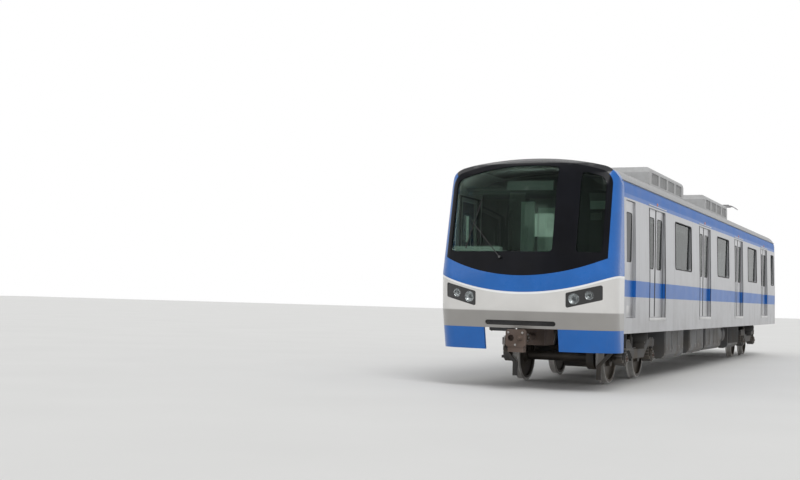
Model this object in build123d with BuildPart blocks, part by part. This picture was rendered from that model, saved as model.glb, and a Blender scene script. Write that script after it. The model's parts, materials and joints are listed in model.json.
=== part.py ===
from build123d import *
import math
import os

os.makedirs("parts", exist_ok=True)

# The car stands with its flange tips at height 0. X points to the cab end, Y to the left, Z up.
# Sizes are in millimetres.

# Fits between pieces
seat = 0.3
sliding_gap = 6.0
pin_gap = 0.05
running_gap = 8.0
closeness = 1.0

# Ways of placing a block or a drum
standing = (Align.CENTER, Align.CENTER, Align.MIN)
hanging = (Align.CENTER, Align.CENTER, Align.MAX)
forwards = (Align.MIN, Align.CENTER, Align.CENTER)
along_x = (0, 90, 0)
along_y = (90, 0, 0)

# Heights over the flange tips
rail_top = 28.0
sill_bottom = rail_top + 900
floor_top = rail_top + 1150
waist = rail_top + 1800
side_top = rail_top + 3150
eaves = rail_top + 3490
roof_crown = rail_top + 3700

# Body shell
half_width = 1475.0
lean = 40.0
cantrail_radius = 350.0
wall = 115.0
roof_depth = 100.0
floor_depth = 150.0
end_wall = 90.0
rear_end = -10125.0
rear_face = -10375.0
front_face = 10375.0
nose_joint = 9350.0

# Saloon doorways and windows
doorway_rear = -7605.0
doorway_pitch = 4820.0
doorway_count = 4
doorway_width = 1300.0
doorway_height = 1900.0
leaf_thickness = 32.0
leaf_lap = 22.0
leaf_inner = 1386.0
leaf_window_width = 400.0
leaf_window_height = 900.0
leaf_window_bottom = rail_top + 2000
hanger_thickness = 12.0
hanger_height = 24.0
window_width = 1640.0
window_height = 900.0
window_bottom = rail_top + 2060
window_radius = 60.0
end_window_width = 620.0
glass_thickness = 8.0

# Crew doorway
crew_rear = 8560.0
crew_width = 640.0
crew_height = 1900.0
crew_leaf_thickness = 36.0
crew_axis_y = 1372.0
crew_gap = 8.0
crew_hinge_radius = 11.0
crew_hinge_height = 90.0
crew_knuckle_radius = 10.0
crew_knuckle_height = 50.0
crew_hinge_levels = (floor_top + 350, floor_top + 1550)

# Nose
nose_tip = 10225.0
front_radius = 4200.0
nose_root = 8700.0
nose_trim = 0.2
panel = 55.0
seam = 0.5
skirt_bottom = rail_top + 600
skirt_top = rail_top + 950
skirt_gap = 1220.0
# Columns: height, setback from the nose tip, corner radius
nose_profile = (
    (skirt_bottom, 190, 420),
    (rail_top + 1220, 35, 420),
    (waist, 0, 420),
    (rail_top + 3250, 300, 360),
    (rail_top + 3450, 385, 300),
    (rail_top + 3600, 510, 260),
    (rail_top + 3720, 740, 240),
)
mask_half = 1340.0
mask_side_bottom = rail_top + 2070
mask_centre_bottom = rail_top + 1780
mask_side_top = rail_top + 3430
mask_centre_top = rail_top + 3650
mask_corner = 250.0
band_side_bottom = rail_top + 1830
band_centre_bottom = rail_top + 1520
glass_border = 85.0
glass_bottom = rail_top + 2160
glass_corner = 60.0
screen_left = 500.0
exit_right = 540.0
exit_border = 45.0
exit_bottom = rail_top + 2115
exit_post = 330.0
pane_step = 6.0
pane_thickness = 14.0
lamp_inner = 740.0
lamp_outer = 1290.0
lamp_slope = 0.25
lamp_inner_top = rail_top + 1520
lamp_height = 235.0
lamp_corner = 28.0
lamp_step = 10.0
lens_step = 16.0
# Columns: distance from the middle, radius
lens_table = ((860.0, 84.0), (1090.0, 66.0))
slot_half = 580.0
slot_bottom = rail_top + 995
slot_top = rail_top + 1070

# Bogies and wheelsets
bogie_front = 6525.0
bogie_rear = -7275.0
wheel_base = 2100.0
wheel_radius = 430.0
flange_height = 28.0
wheel_back = 680.0
wheel_width = 135.0
flange_width = 32.0
rim_depth = 62.0
web_thickness = 34.0
hub_radius = 135.0
axle_radius = 82.0
journal_radius = 60.0
journal_end = 1065.0
web_fillet = 28.0
axle_height = rail_top + wheel_radius
frame_y = 1000.0
beam_width = 140.0
beam_depth = 170.0
beam_top = axle_height + 300
beam_drop = 150.0
beam_end_lift = 40.0
spring_radius = 255.0
spring_y = 985.0
transom_radius = 75.0
transom_x = 230.0

# Coupling gear
coupler_height = rail_top + 800
drawbar_flange_radius = 150.0
drawbar_pitch_radius = 115.0
drawbar_bolt_radius = 11.0
drawbar_bolts = 8

# Roof gear
cooler_length = 3400.0
cooler_width = 1900.0
cooler_height = 330.0
pan_x = -7275.0


def side_half(height):
    """Half the body's width at a height: upright to the waist, then leaning in to the eaves."""
    return half_width - lean * max(0, height - waist) / (eaves - waist)


def body_outline(sketch, inset, bottom):
    """Closes the body's cross-section, drawn in by inset, between bottom and the roof."""
    low = half_width - inset
    high = side_half(eaves) - inset
    top = eaves - inset
    with BuildLine() as outline:
        Polyline((-high, top), (-low, waist), (-low, bottom), (low, bottom), (low, waist), (high, top))
        ThreePointArc((high, top), (0, roof_crown - inset), (-high, top))
    make_face(outline.edges())
    fillet(sketch.vertices().group_by(Axis.Y)[-1], cantrail_radius - inset)


def nose_plan(height, setback, corner_radius, inset):
    """Closes the nose's plan at one height: straight sides, corner arcs and a wide front arc."""
    half = side_half(height) - inset
    corner = corner_radius - inset
    front = front_radius - inset
    centre = nose_tip - setback - front_radius
    corner_y = half - corner
    corner_x = centre + math.sqrt((front - corner) ** 2 - corner_y**2)
    turn = math.atan2(corner_y, corner_x - centre)
    middle = (turn + math.pi / 2) / 2
    join = (centre + front * math.cos(turn), front * math.sin(turn))
    bend = (corner_x + corner * math.cos(middle), corner_y + corner * math.sin(middle))
    with BuildLine() as outline:
        Polyline((corner_x, -half), (nose_root, -half), (nose_root, half), (corner_x, half))
        ThreePointArc((corner_x, half), bend, join)
        ThreePointArc(join, (centre + front, 0), (join[0], -join[1]))
        ThreePointArc((join[0], -join[1]), (bend[0], -bend[1]), (corner_x, -half))
    make_face(outline.edges())


def nose_solid(inset):
    """The nose as one block, drawn in by inset from its outer face."""
    with BuildPart() as block:
        for height, setback, corner_radius in nose_profile:
            with BuildSketch(Plane.XY.offset(height)):
                nose_plan(height, setback, corner_radius, inset)
        loft(ruled=True)
        with BuildSketch(Plane.YZ.offset(nose_joint)) as section:
            body_outline(section, inset - nose_trim, skirt_bottom)
        extrude(amount=nose_tip - nose_joint, mode=Mode.INTERSECT)
    return block.part


def nose_shell(step, depth):
    """The nose's wall from step to depth, both measured in from its outer face."""
    outer = nose_solid(step)
    inner = nose_solid(depth)
    with BuildPart() as shell:
        add(outer)
        add(inner, mode=Mode.SUBTRACT)
    return shell.part


def mask_outline(sketch, grow):
    """Closes the front view of the dark mask, drawn out by grow."""
    half = mask_half + grow
    low = mask_side_bottom - grow
    high = mask_side_top + grow
    with BuildLine() as outline:
        ThreePointArc((-half, low), (0, mask_centre_bottom - grow), (half, low))
        Line((half, low), (half, high))
        ThreePointArc((half, high), (0, mask_centre_top + grow), (-half, high))
        Line((-half, high), (-half, low))
    make_face(outline.edges())
    fillet(sketch.vertices().group_by(Axis.Y)[-1], mask_corner + grow)


def lower_outline(drop, bottom):
    """Closes the front view of all that lies under the band's lower edge, down to bottom."""
    half = half_width + panel
    side = band_side_bottom - drop
    with BuildLine() as outline:
        ThreePointArc((-half, side), (0, band_centre_bottom - drop), (half, side))
        Polyline((half, side), (half, bottom), (-half, bottom), (-half, side))
    make_face(outline.edges())


def opening_outline(sketch, border, low, high, bottom):
    """Closes the front view of an opening that keeps a border inside the mask, between two side limits."""
    mask_outline(sketch, -border)
    with Locations(((low + high) / 2, (bottom + roof_crown) / 2)):
        Rectangle(high - low, roof_crown - bottom, mode=Mode.INTERSECT)
    inner = min(abs(low), abs(high))
    fillet(sketch.vertices().group_by(Axis.Y)[0], glass_corner)
    top_inner = sketch.vertices().filter_by(lambda corner: abs(abs(corner.X) - inner) < closeness)
    fillet(top_inner.sort_by(Axis.Y)[-1:], glass_corner)


def lamp_outline(sketch, side, grow):
    """Closes the front view of one slanted lamp recess, drawn out by grow."""
    rise = lamp_slope * (lamp_outer - lamp_inner)
    high = lamp_inner_top + grow
    low = lamp_inner_top - lamp_height - grow
    with BuildLine() as outline:
        Polyline(
            (side * (lamp_inner - grow), high),
            (side * (lamp_outer + grow), high + rise),
            (side * (lamp_outer + grow), low + rise),
            (side * (lamp_inner - grow), low),
            close=True,
        )
    make_face(outline.edges())
    fillet([corner for corner in sketch.vertices() if side * corner.X > 0], lamp_corner + grow)


def save(part, label):
    """Labels a finished piece and writes its file."""
    part.label = label
    export_step(part, "parts/" + label + ".step")


doorways = [doorway_rear + doorway_pitch * number for number in range(doorway_count)]
windows = [doorway_rear + doorway_pitch * (number + 0.5) for number in range(doorway_count - 1)]
pocket_depth = doorway_width / 2 + leaf_lap + sliding_gap
pocket_inner = leaf_inner - sliding_gap
pocket_outer = leaf_inner + leaf_thickness + sliding_gap
pocket_top = floor_top + doorway_height + leaf_lap + hanger_height
shell_start = rear_end + end_wall + seat
shell_length = nose_joint - seam - shell_start
end_window_x = (rear_end + end_wall + doorway_rear - doorway_width / 2 - pocket_depth) / 2
inner_half = half_width - wall
crew_leaf_rear = crew_rear + crew_gap
crew_leaf_length = crew_width - 2 * crew_gap
crew_hinge_x = crew_rear + crew_gap + crew_hinge_radius
knuckle_step = (crew_hinge_height + crew_knuckle_height) / 2 + seat
knuckle_levels = [level + way * knuckle_step for level in crew_hinge_levels for way in (-1, 1)]

# Side walls, with door pockets open between the outer and the inner skin
for hand, sign in (("left", 1), ("right", -1)):
    with BuildPart() as side_wall:
        with BuildSketch(Plane.YZ.offset(shell_start)):
            with BuildLine():
                Polyline(
                    (sign * inner_half, sill_bottom),
                    (sign * half_width, sill_bottom),
                    (sign * half_width, waist),
                    (sign * side_half(side_top), side_top),
                    (sign * inner_half, side_top),
                    close=True,
                )
            make_face()
        extrude(amount=shell_length)
        with BuildSketch(Plane.XZ.offset(-sign * inner_half)):
            with Locations([(x, floor_top + doorway_height / 2) for x in doorways]):
                Rectangle(doorway_width, doorway_height)
            with Locations([(x, window_bottom + window_height / 2) for x in windows]):
                RectangleRounded(window_width, window_height, window_radius)
            with Locations((end_window_x, window_bottom + window_height / 2)):
                RectangleRounded(end_window_width, window_height, window_radius)
            with Locations((crew_rear + crew_width / 2, floor_top + crew_height / 2)):
                Rectangle(crew_width, crew_height)
        extrude(amount=2 * wall, both=True, mode=Mode.SUBTRACT)
        with Locations([(x, sign * (pocket_inner + pocket_outer) / 2, floor_top) for x in doorways]):
            Box(
                doorway_width + 2 * pocket_depth,
                pocket_outer - pocket_inner,
                pocket_top - floor_top,
                align=standing,
                mode=Mode.SUBTRACT,
            )
        with Locations([(crew_hinge_x, sign * crew_axis_y, z) for z in knuckle_levels]):
            Cylinder(crew_knuckle_radius, crew_knuckle_height)
            Box(
                crew_hinge_x - crew_rear + seam,
                crew_knuckle_radius,
                crew_knuckle_height,
                align=(Align.MAX, Align.CENTER, Align.CENTER),
            )
    save(side_wall.part, "side_wall_" + hand)

# Roof shell, from the cantrails up, with a rain gutter along each side
gutter_height = rail_top + 3355
gutter_inset = 65.0
gutter_depth = 60.0
gutter_lip = 14.0
with BuildPart() as roof:
    with BuildSketch(Plane.YZ.offset(shell_start)) as roof_section:
        body_outline(roof_section, 0, sill_bottom)
    extrude(amount=shell_length)
    with BuildSketch(Plane.YZ.offset(shell_start)) as ceiling_section:
        body_outline(ceiling_section, roof_depth, sill_bottom)
    extrude(amount=shell_length, mode=Mode.SUBTRACT)
    split(bisect_by=Plane.XY.offset(side_top + seat), keep=Keep.TOP)
    with Locations([(shell_start, side * (half_width - gutter_inset), gutter_height) for side in (1, -1)]):
        Box(shell_length, gutter_depth, gutter_lip, align=forwards)
save(roof.part, "roof")

# Underframe: floor, cross bearers, the two body bolsters and a step under each crew door
bolster_length = 700.0
bolster_depth = 60.0
bearer_width = 120.0
bearer_depth = 70.0
bearer_pitch = 1150.0
bearer_count = 7
centre_pin_radius = 75.0
centre_pin_length = 520.0
step_level = rail_top + 640
step_length = 420.0
step_depth = 150.0
step_plate = 20.0
step_inset = 15.0
hanger_width = 60.0
floor_bottom = floor_top - floor_depth
floor_half = inner_half - seat
bogie_centres = (bogie_front, bogie_rear)
step_x = crew_rear + crew_width / 2
step_y = half_width - step_inset - step_depth / 2
with BuildPart() as underframe:
    add(nose_solid(panel + seat))
    with Locations((nose_joint, 0, floor_bottom)):
        Box(
            nose_tip - nose_joint,
            2 * half_width,
            floor_depth,
            align=(Align.MIN, Align.CENTER, Align.MIN),
            mode=Mode.INTERSECT,
        )
    with Locations(((shell_start + nose_joint) / 2, 0, floor_bottom)):
        Box(nose_joint - shell_start, 2 * floor_half, floor_depth, align=standing)
    with Locations([(x, 0, floor_bottom) for x in bogie_centres]):
        Box(bolster_length, 2 * floor_half, bolster_depth, align=hanging)
        Cylinder(centre_pin_radius, centre_pin_length, align=hanging)
    with Locations(((bogie_front + bogie_rear) / 2, 0, floor_bottom)):
        with GridLocations(bearer_pitch, 0, bearer_count, 1):
            Box(bearer_width, 2 * floor_half, bearer_depth, align=hanging)
    for side in (1, -1):
        with Locations((step_x, side * step_y, step_level)):
            Box(step_length, step_depth, step_plate)
        with Locations((step_x, side * (floor_half - hanger_width / 2), floor_bottom)):
            with GridLocations(step_length - step_plate, 0, 2, 1):
                Box(step_plate, hanger_width, floor_bottom - step_level, align=hanging)
save(underframe.part, "underframe")

# Rear end wall: two side plates, a header and a sill, which meet at the edges of the gangway's opening
gangway_width = 1300.0
gangway_height = 1950.0
gangway_radius = 120.0
door_frame_radius = 45.0
with BuildPart() as rear_wall:
    with BuildSketch(Plane.YZ.offset(rear_end)) as rear_section:
        body_outline(rear_section, 0, sill_bottom)
        with Locations((0, floor_top + gangway_height / 2)):
            RectangleRounded(gangway_width, gangway_height, door_frame_radius, mode=Mode.SUBTRACT)
    extrude(amount=end_wall)
    for side in (1, -1):
        split(bisect_by=Plane.XZ.offset(side * gangway_width / 2), keep=Keep.BOTH)
save(rear_wall.part, "rear_wall")

# Gangway bellows, with folds along a straight sleeve
bellows_wall = 60.0
fold_depth = 35.0
fold_count = 5
gangway_end = rear_face
bellows_length = rear_end - seat - gangway_end
fold_pitch = bellows_length / fold_count
with BuildPart() as gangway:
    with BuildSketch(Plane.YZ.offset(gangway_end)):
        with Locations((0, floor_top + gangway_height / 2)):
            RectangleRounded(
                gangway_width + 2 * bellows_wall,
                gangway_height + 2 * bellows_wall,
                gangway_radius + bellows_wall,
            )
            RectangleRounded(gangway_width, gangway_height, gangway_radius, mode=Mode.SUBTRACT)
    extrude(amount=bellows_length)
    for number in range(fold_count):
        with BuildSketch(Plane.YZ.offset(gangway_end + fold_pitch * number)):
            with Locations((0, floor_top + gangway_height / 2)):
                RectangleRounded(
                    gangway_width + 2 * bellows_wall + 2 * fold_depth,
                    gangway_height + 2 * bellows_wall + 2 * fold_depth,
                    gangway_radius + bellows_wall + fold_depth,
                )
                RectangleRounded(gangway_width, gangway_height, gangway_radius, mode=Mode.SUBTRACT)
        extrude(amount=fold_pitch / 2)
save(gangway.part, "gangway")

# Glass of the fixed side windows
pane_y = inner_half + wall / 2
with BuildPart() as side_glass:
    for sign in (1, -1):
        with BuildSketch(Plane.XZ.offset(-sign * pane_y)):
            with Locations([(x, window_bottom + window_height / 2) for x in windows]):
                RectangleRounded(window_width - 2 * seat, window_height - 2 * seat, window_radius - seat)
            with Locations((end_window_x, window_bottom + window_height / 2)):
                RectangleRounded(end_window_width - 2 * seat, window_height - 2 * seat, window_radius - seat)
        extrude(amount=glass_thickness / 2, both=True)
save(side_glass.part, "side_glass")

# Sliding door leaves: two a doorway, each hung from a rail on its top edge
leaf_width = doorway_width / 2 + leaf_lap - seam
leaf_bottom = floor_top + sliding_gap
leaf_top = pocket_top - hanger_height - seat
leaf_window_x = doorway_width / 4
leaf_mid = leaf_inner + leaf_thickness / 2
for hand, side in (("left", 1), ("right", -1)):
    for number, x in enumerate(doorways):
        for end, way in (("rear", -1), ("front", 1)):
            leaf_x = x + way * (seam + leaf_width / 2)
            with BuildPart() as leaf:
                with Locations((leaf_x, side * leaf_mid, leaf_bottom)):
                    Box(leaf_width, leaf_thickness, leaf_top - leaf_bottom, align=standing)
                with Locations((leaf_x, side * leaf_mid, leaf_top)):
                    Box(leaf_width, hanger_thickness, hanger_height, align=standing)
                with BuildSketch(Plane.XZ.offset(-side * leaf_mid)):
                    with Locations((x + way * leaf_window_x, leaf_window_bottom + leaf_window_height / 2)):
                        RectangleRounded(leaf_window_width, leaf_window_height, window_radius)
                extrude(amount=leaf_thickness, both=True, mode=Mode.SUBTRACT)
            save(leaf.part, "door_" + hand + "_" + str(number + 1) + "_" + end)

# Crew doors: each swings in about the knuckles at its rear edge
crew_leaf_bottom = floor_top + sliding_gap
crew_leaf_height = crew_height - 2 * sliding_gap
crew_window_width = 400.0
crew_window_height = 800.0
crew_leaf_inner = crew_axis_y + crew_hinge_radius
crew_leaf_mid = crew_leaf_inner + crew_leaf_thickness / 2
for hand, side in (("left", 1), ("right", -1)):
    with BuildPart() as crew_door:
        with Locations((crew_leaf_rear, side * crew_leaf_mid, crew_leaf_bottom)):
            Box(
                crew_leaf_length,
                crew_leaf_thickness,
                crew_leaf_height,
                align=(Align.MIN, Align.CENTER, Align.MIN),
            )
        with BuildSketch(Plane.XZ.offset(-side * crew_leaf_mid)):
            with Locations((crew_rear + crew_width / 2, window_bottom + crew_window_height / 2)):
                RectangleRounded(crew_window_width, crew_window_height, window_radius)
        extrude(amount=crew_leaf_thickness, both=True, mode=Mode.SUBTRACT)
        with Locations([(crew_hinge_x, side * crew_axis_y, z) for z in crew_hinge_levels]):
            Cylinder(crew_hinge_radius, crew_hinge_height)
            Box(2 * crew_hinge_radius, 2 * (crew_leaf_inner - crew_axis_y), crew_hinge_height)
    save(crew_door.part, "crew_door_" + hand)

# Nose panels, cut from one shell along the joints of the front view
front_plane = Plane.YZ.offset(nose_joint)
front_reach = nose_tip - nose_joint + panel
panel_shell = nose_shell(0, panel)
glass_limit = mask_half + panel

with BuildPart() as nose_mask:
    add(panel_shell)
    with BuildSketch(front_plane) as mask_view:
        mask_outline(mask_view, 0)
    extrude(amount=front_reach, mode=Mode.INTERSECT)
    with BuildSketch(front_plane) as screen_view:
        opening_outline(screen_view, glass_border, -glass_limit, screen_left, glass_bottom)
    extrude(amount=front_reach, mode=Mode.SUBTRACT)
    with BuildSketch(front_plane) as exit_view:
        opening_outline(exit_view, exit_border, exit_right, glass_limit, exit_bottom)
    extrude(amount=front_reach, mode=Mode.SUBTRACT)
save(nose_mask.part, "nose_mask")

with BuildPart() as nose_surround:
    add(panel_shell)
    with BuildSketch(front_plane) as mask_view:
        mask_outline(mask_view, seam)
    extrude(amount=front_reach, mode=Mode.SUBTRACT)
    with BuildSketch(front_plane):
        lower_outline(0, skirt_bottom - panel)
    extrude(amount=front_reach, mode=Mode.SUBTRACT)
save(nose_surround.part, "nose_surround")

with BuildPart() as lower_panel:
    add(panel_shell)
    with BuildSketch(front_plane):
        lower_outline(seam, skirt_top)
    extrude(amount=front_reach, mode=Mode.INTERSECT)
    for side in (1, -1):
        with BuildSketch(front_plane) as lamp_view:
            lamp_outline(lamp_view, side, 0)
        extrude(amount=front_reach, mode=Mode.SUBTRACT)
    with BuildSketch(front_plane):
        with Locations((0, (slot_bottom + slot_top) / 2)):
            SlotOverall(2 * slot_half, slot_top - slot_bottom)
    extrude(amount=front_reach, mode=Mode.SUBTRACT)
save(lower_panel.part, "lower_panel")

with BuildPart() as front_skirts:
    add(panel_shell)
    with BuildSketch(front_plane):
        with Locations((0, skirt_bottom)):
            Rectangle(
                2 * (half_width + panel), skirt_top - seam - skirt_bottom, align=(Align.CENTER, Align.MIN)
            )
            Rectangle(
                skirt_gap, skirt_top - skirt_bottom, align=(Align.CENTER, Align.MIN), mode=Mode.SUBTRACT
            )
    extrude(amount=front_reach, mode=Mode.INTERSECT)
save(front_skirts.part, "front_skirts")

# Front glass: the driver's screen and the pane of the emergency exit
pane_shell = nose_shell(pane_step, pane_step + pane_thickness)
with BuildPart() as front_glass:
    add(pane_shell)
    with BuildSketch(front_plane) as screen_view:
        opening_outline(
            screen_view, glass_border + seat, -glass_limit, screen_left - seat, glass_bottom + seat
        )
    extrude(amount=front_reach, mode=Mode.INTERSECT)
with BuildPart() as exit_glass:
    add(pane_shell)
    with BuildSketch(front_plane) as pane_view:
        opening_outline(pane_view, glass_border + seat, exit_right + exit_post, glass_limit, glass_bottom)
    extrude(amount=front_reach, mode=Mode.INTERSECT)
save(Compound(children=[front_glass.part, exit_glass.part]), "front_glass")

with BuildPart() as emergency_exit:
    add(panel_shell)
    with BuildSketch(front_plane) as exit_view:
        opening_outline(exit_view, exit_border + seam, exit_right + seam, glass_limit, exit_bottom + seam)
    extrude(amount=front_reach, mode=Mode.INTERSECT)
    with BuildSketch(front_plane) as pane_view:
        opening_outline(
            pane_view, glass_border, exit_right + exit_post - seat, glass_limit, glass_bottom - seat
        )
    extrude(amount=front_reach, mode=Mode.SUBTRACT)
save(emergency_exit.part, "emergency_exit")

# Headlamps: slanted housings with round wells, and the lenses in the wells
lamp_mid_y = (lamp_inner + lamp_outer) / 2
lamp_mid_z = lamp_inner_top + (lamp_slope * (lamp_outer - lamp_inner) - lamp_height) / 2
with BuildPart() as headlamps:
    add(nose_shell(lamp_step, panel))
    with BuildSketch(front_plane) as lamp_view:
        lamp_outline(lamp_view, 1, -seat)
        lamp_outline(lamp_view, -1, -seat)
    extrude(amount=front_reach, mode=Mode.INTERSECT)
    for distance, radius in lens_table:
        lens_z = lamp_mid_z + lamp_slope * (distance - lamp_mid_y)
        with BuildSketch(front_plane):
            with Locations([(side * distance, lens_z) for side in (1, -1)]):
                Circle(radius)
        extrude(amount=front_reach, mode=Mode.SUBTRACT)
save(headlamps.part, "headlamps")

with BuildPart() as lamp_lenses:
    add(nose_shell(lens_step, panel))
    with BuildSketch(front_plane):
        for distance, radius in lens_table:
            lens_z = lamp_mid_z + lamp_slope * (distance - lamp_mid_y)
            with Locations([(side * distance, lens_z) for side in (1, -1)]):
                Circle(radius - seat)
    extrude(amount=front_reach, mode=Mode.INTERSECT)
save(lamp_lenses.part, "lamp_lenses")

# Destination sign, close behind the top of the driver's screen
sign_right = -330.0
sign_left = 430.0
sign_bottom = rail_top + 3150
sign_height = 150.0
sign_depth = 45.0
with BuildPart() as destination_sign:
    add(nose_shell(pane_step + pane_thickness + seat, pane_step + pane_thickness + sign_depth))
    with BuildSketch(front_plane):
        with Locations(((sign_left + sign_right) / 2, sign_bottom)):
            Rectangle(sign_left - sign_right, sign_height, align=(Align.CENTER, Align.MIN))
    extrude(amount=front_reach, mode=Mode.INTERSECT)
save(destination_sign.part, "destination_sign")


# Cab partition with its doorway, and the door that swings about the knuckles at its left edge
partition_x = 8290.0
partition_thickness = 40.0
partition_door_width = 600.0
partition_door_height = 1850.0
partition_door_gap = 6.0
partition_pin_offset = 12.0
partition_hinge_inset = 10.0
partition_knuckle_radius = 11.0
partition_knuckle_height = 60.0
partition_leaf_knuckle = 80.0
partition_hinge_levels = (floor_top + 300, floor_top + 1500)
partition_hinge_x = partition_x - partition_pin_offset
partition_hinge_y = partition_door_width / 2 - partition_hinge_inset
partition_step = (partition_knuckle_height + partition_leaf_knuckle) / 2 + seat
with BuildPart() as cab_partition:
    with BuildSketch(Plane.YZ.offset(partition_x)) as partition_view:
        body_outline(partition_view, wall + seat, floor_top + seat)
        with Locations((0, floor_top + seat)):
            Rectangle(
                partition_door_width,
                partition_door_height,
                align=(Align.CENTER, Align.MIN),
                mode=Mode.SUBTRACT,
            )
    extrude(amount=partition_thickness)
    for level in partition_hinge_levels:
        with Locations(
            [(partition_hinge_x, partition_hinge_y, level + way * partition_step) for way in (-1, 1)]
        ):
            Cylinder(partition_knuckle_radius, partition_knuckle_height)
            Box(
                partition_pin_offset,
                2 * partition_pin_offset + partition_hinge_inset,
                partition_knuckle_height,
                align=(Align.MIN, Align.MIN, Align.CENTER),
            )
save(cab_partition.part, "cab_partition")

with BuildPart() as partition_door:
    with Locations((partition_x + partition_thickness / 2, 0, floor_top + seat)):
        Box(
            partition_thickness,
            partition_door_width - 2 * partition_door_gap,
            partition_door_height - partition_door_gap,
            align=standing,
        )
    with Locations([(partition_hinge_x, partition_hinge_y, level) for level in partition_hinge_levels]):
        Cylinder(partition_knuckle_radius, partition_leaf_knuckle)
        Box(
            partition_pin_offset + partition_knuckle_radius,
            2 * partition_knuckle_radius,
            partition_leaf_knuckle,
            align=(Align.MIN, Align.MAX, Align.CENTER),
        )
save(partition_door.part, "partition_door")

# Driver's desk: a sloped board over a cabinet, across the cab
desk_rear = nose_joint + 20
desk_depth = 500.0
desk_right = -1250.0
desk_left = 430.0
desk_height = 740.0
desk_hood_height = 1010.0
desk_board = 260.0
desk_rise = 60.0
desk_lip = 40.0
desk_toe = 130.0
desk_fillet = 18.0
hood_start = 330.0
hood_fall = 30.0
with BuildPart() as driver_desk:
    with BuildSketch(Plane.XZ.offset(-desk_left)) as desk_profile:
        with BuildLine():
            Polyline(
                (desk_rear + desk_toe, floor_top + seat),
                (desk_rear + desk_toe, floor_top + desk_height - 3 * desk_lip),
                (desk_rear, floor_top + desk_height - desk_lip),
                (desk_rear, floor_top + desk_height),
                (desk_rear + desk_board, floor_top + desk_height + desk_rise),
                (desk_rear + hood_start, floor_top + desk_hood_height),
                (desk_rear + desk_depth, floor_top + desk_hood_height - hood_fall),
                (desk_rear + desk_depth, floor_top + seat),
                close=True,
            )
        make_face()
        desk_middle = floor_top + desk_height / 2
        fillet([corner for corner in desk_profile.vertices() if corner.Y > desk_middle], desk_fillet)
    extrude(amount=desk_left - desk_right)
save(driver_desk.part, "driver_desk")

# Driver's seat: pedestal, pan and back plate, with a cushion on each plate
chair_x = 8900.0
chair_y = -430.0
chair_foot_radius = 190.0
chair_foot_depth = 30.0
chair_column_radius = 60.0
chair_pan_top = 360.0
chair_plate = 18.0
chair_pan_length = 460.0
chair_pan_width = 440.0
chair_back_height = 620.0
cushion_width = 460.0
cushion_radius = 60.0
cushion_depth = 90.0
cushion_length = 360.0
back_cushion_depth = 80.0
back_cushion_height = 580.0
cushion_fillet = 25.0
back_plate_front = chair_x - chair_pan_length / 2 + chair_plate / 2
chair_top = floor_top + chair_pan_top
with BuildPart() as driver_seat:
    with Locations((chair_x, chair_y, floor_top + seat)):
        Cylinder(chair_foot_radius, chair_foot_depth, align=standing)
        Cylinder(chair_column_radius, chair_pan_top - chair_plate, align=standing)
    with Locations((chair_x, chair_y, chair_top)):
        Box(chair_pan_length, chair_pan_width, chair_plate, align=hanging)
    with BuildSketch(Plane.YZ.offset(back_plate_front - chair_plate)):
        with Locations((chair_y, chair_top - chair_plate + chair_back_height / 2)):
            RectangleRounded(chair_pan_width, chair_back_height, chair_plate)
    extrude(amount=chair_plate)
save(driver_seat.part, "driver_seat")

with BuildPart() as seat_cushion:
    with BuildSketch(Plane.XY.offset(chair_top + seat)):
        with Locations((chair_x + (chair_pan_length - cushion_length) / 2, chair_y)):
            RectangleRounded(cushion_length, cushion_width, cushion_radius)
    extrude(amount=cushion_depth)
    fillet(seat_cushion.faces().sort_by(Axis.Z)[-1].edges(), cushion_fillet)
with BuildPart() as back_cushion:
    with BuildSketch(Plane.YZ.offset(back_plate_front + seat)):
        with Locations((chair_y, chair_top + seat + back_cushion_height / 2)):
            RectangleRounded(cushion_width, back_cushion_height, cushion_radius)
    extrude(amount=back_cushion_depth)
    fillet(back_cushion.faces().sort_by(Axis.X)[-1].edges(), cushion_fillet)
save(Compound(children=[seat_cushion.part, back_cushion.part]), "seat_cushions")

# Passenger benches along the walls between the doorways: shaped seats on one beam
bench_gap = 340.0
bench_depth = 430.0
bench_height = 430.0
bench_back = 460.0
bench_back_edge = 48.0
bench_thickness = 40.0
bench_seats = 7
bench_seat_gap = 12.0
bench_beam_depth = 110.0
bench_beam_width = 220.0
bench_fillet = 14.0
bench_wall = inner_half - seat
bench_top = floor_top + bench_height
bench_length = doorway_pitch - doorway_width - bench_gap
bench_pitch = bench_length / bench_seats
with BuildPart() as benches:
    for side in (1, -1):
        for x in windows:
            for number in range(bench_seats):
                start = x - bench_length / 2 + bench_pitch * number + bench_seat_gap / 2
                with BuildSketch(Plane.YZ.offset(start)) as shell_section:
                    with BuildLine():
                        Polyline(
                            (side * bench_wall, bench_top - 2 * bench_thickness),
                            (side * bench_wall, bench_top + bench_back),
                            (side * (bench_wall - bench_back_edge), bench_top + bench_back),
                            (side * (bench_wall - 2 * bench_thickness), bench_top),
                            (side * (bench_wall - bench_depth), bench_top + bench_fillet),
                            (side * (bench_wall - bench_depth), bench_top - bench_thickness),
                            close=True,
                        )
                    make_face()
                    lips = [lip for lip in shell_section.vertices() if abs(lip.X) < bench_wall - closeness]
                    fillet(lips, bench_fillet)
                extrude(amount=bench_pitch - bench_seat_gap)
            with Locations((x, side * (bench_wall - bench_beam_width / 2), bench_top)):
                Box(bench_length, bench_beam_width, 2 * bench_beam_depth, align=hanging)
save(benches.part, "benches")

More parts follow.
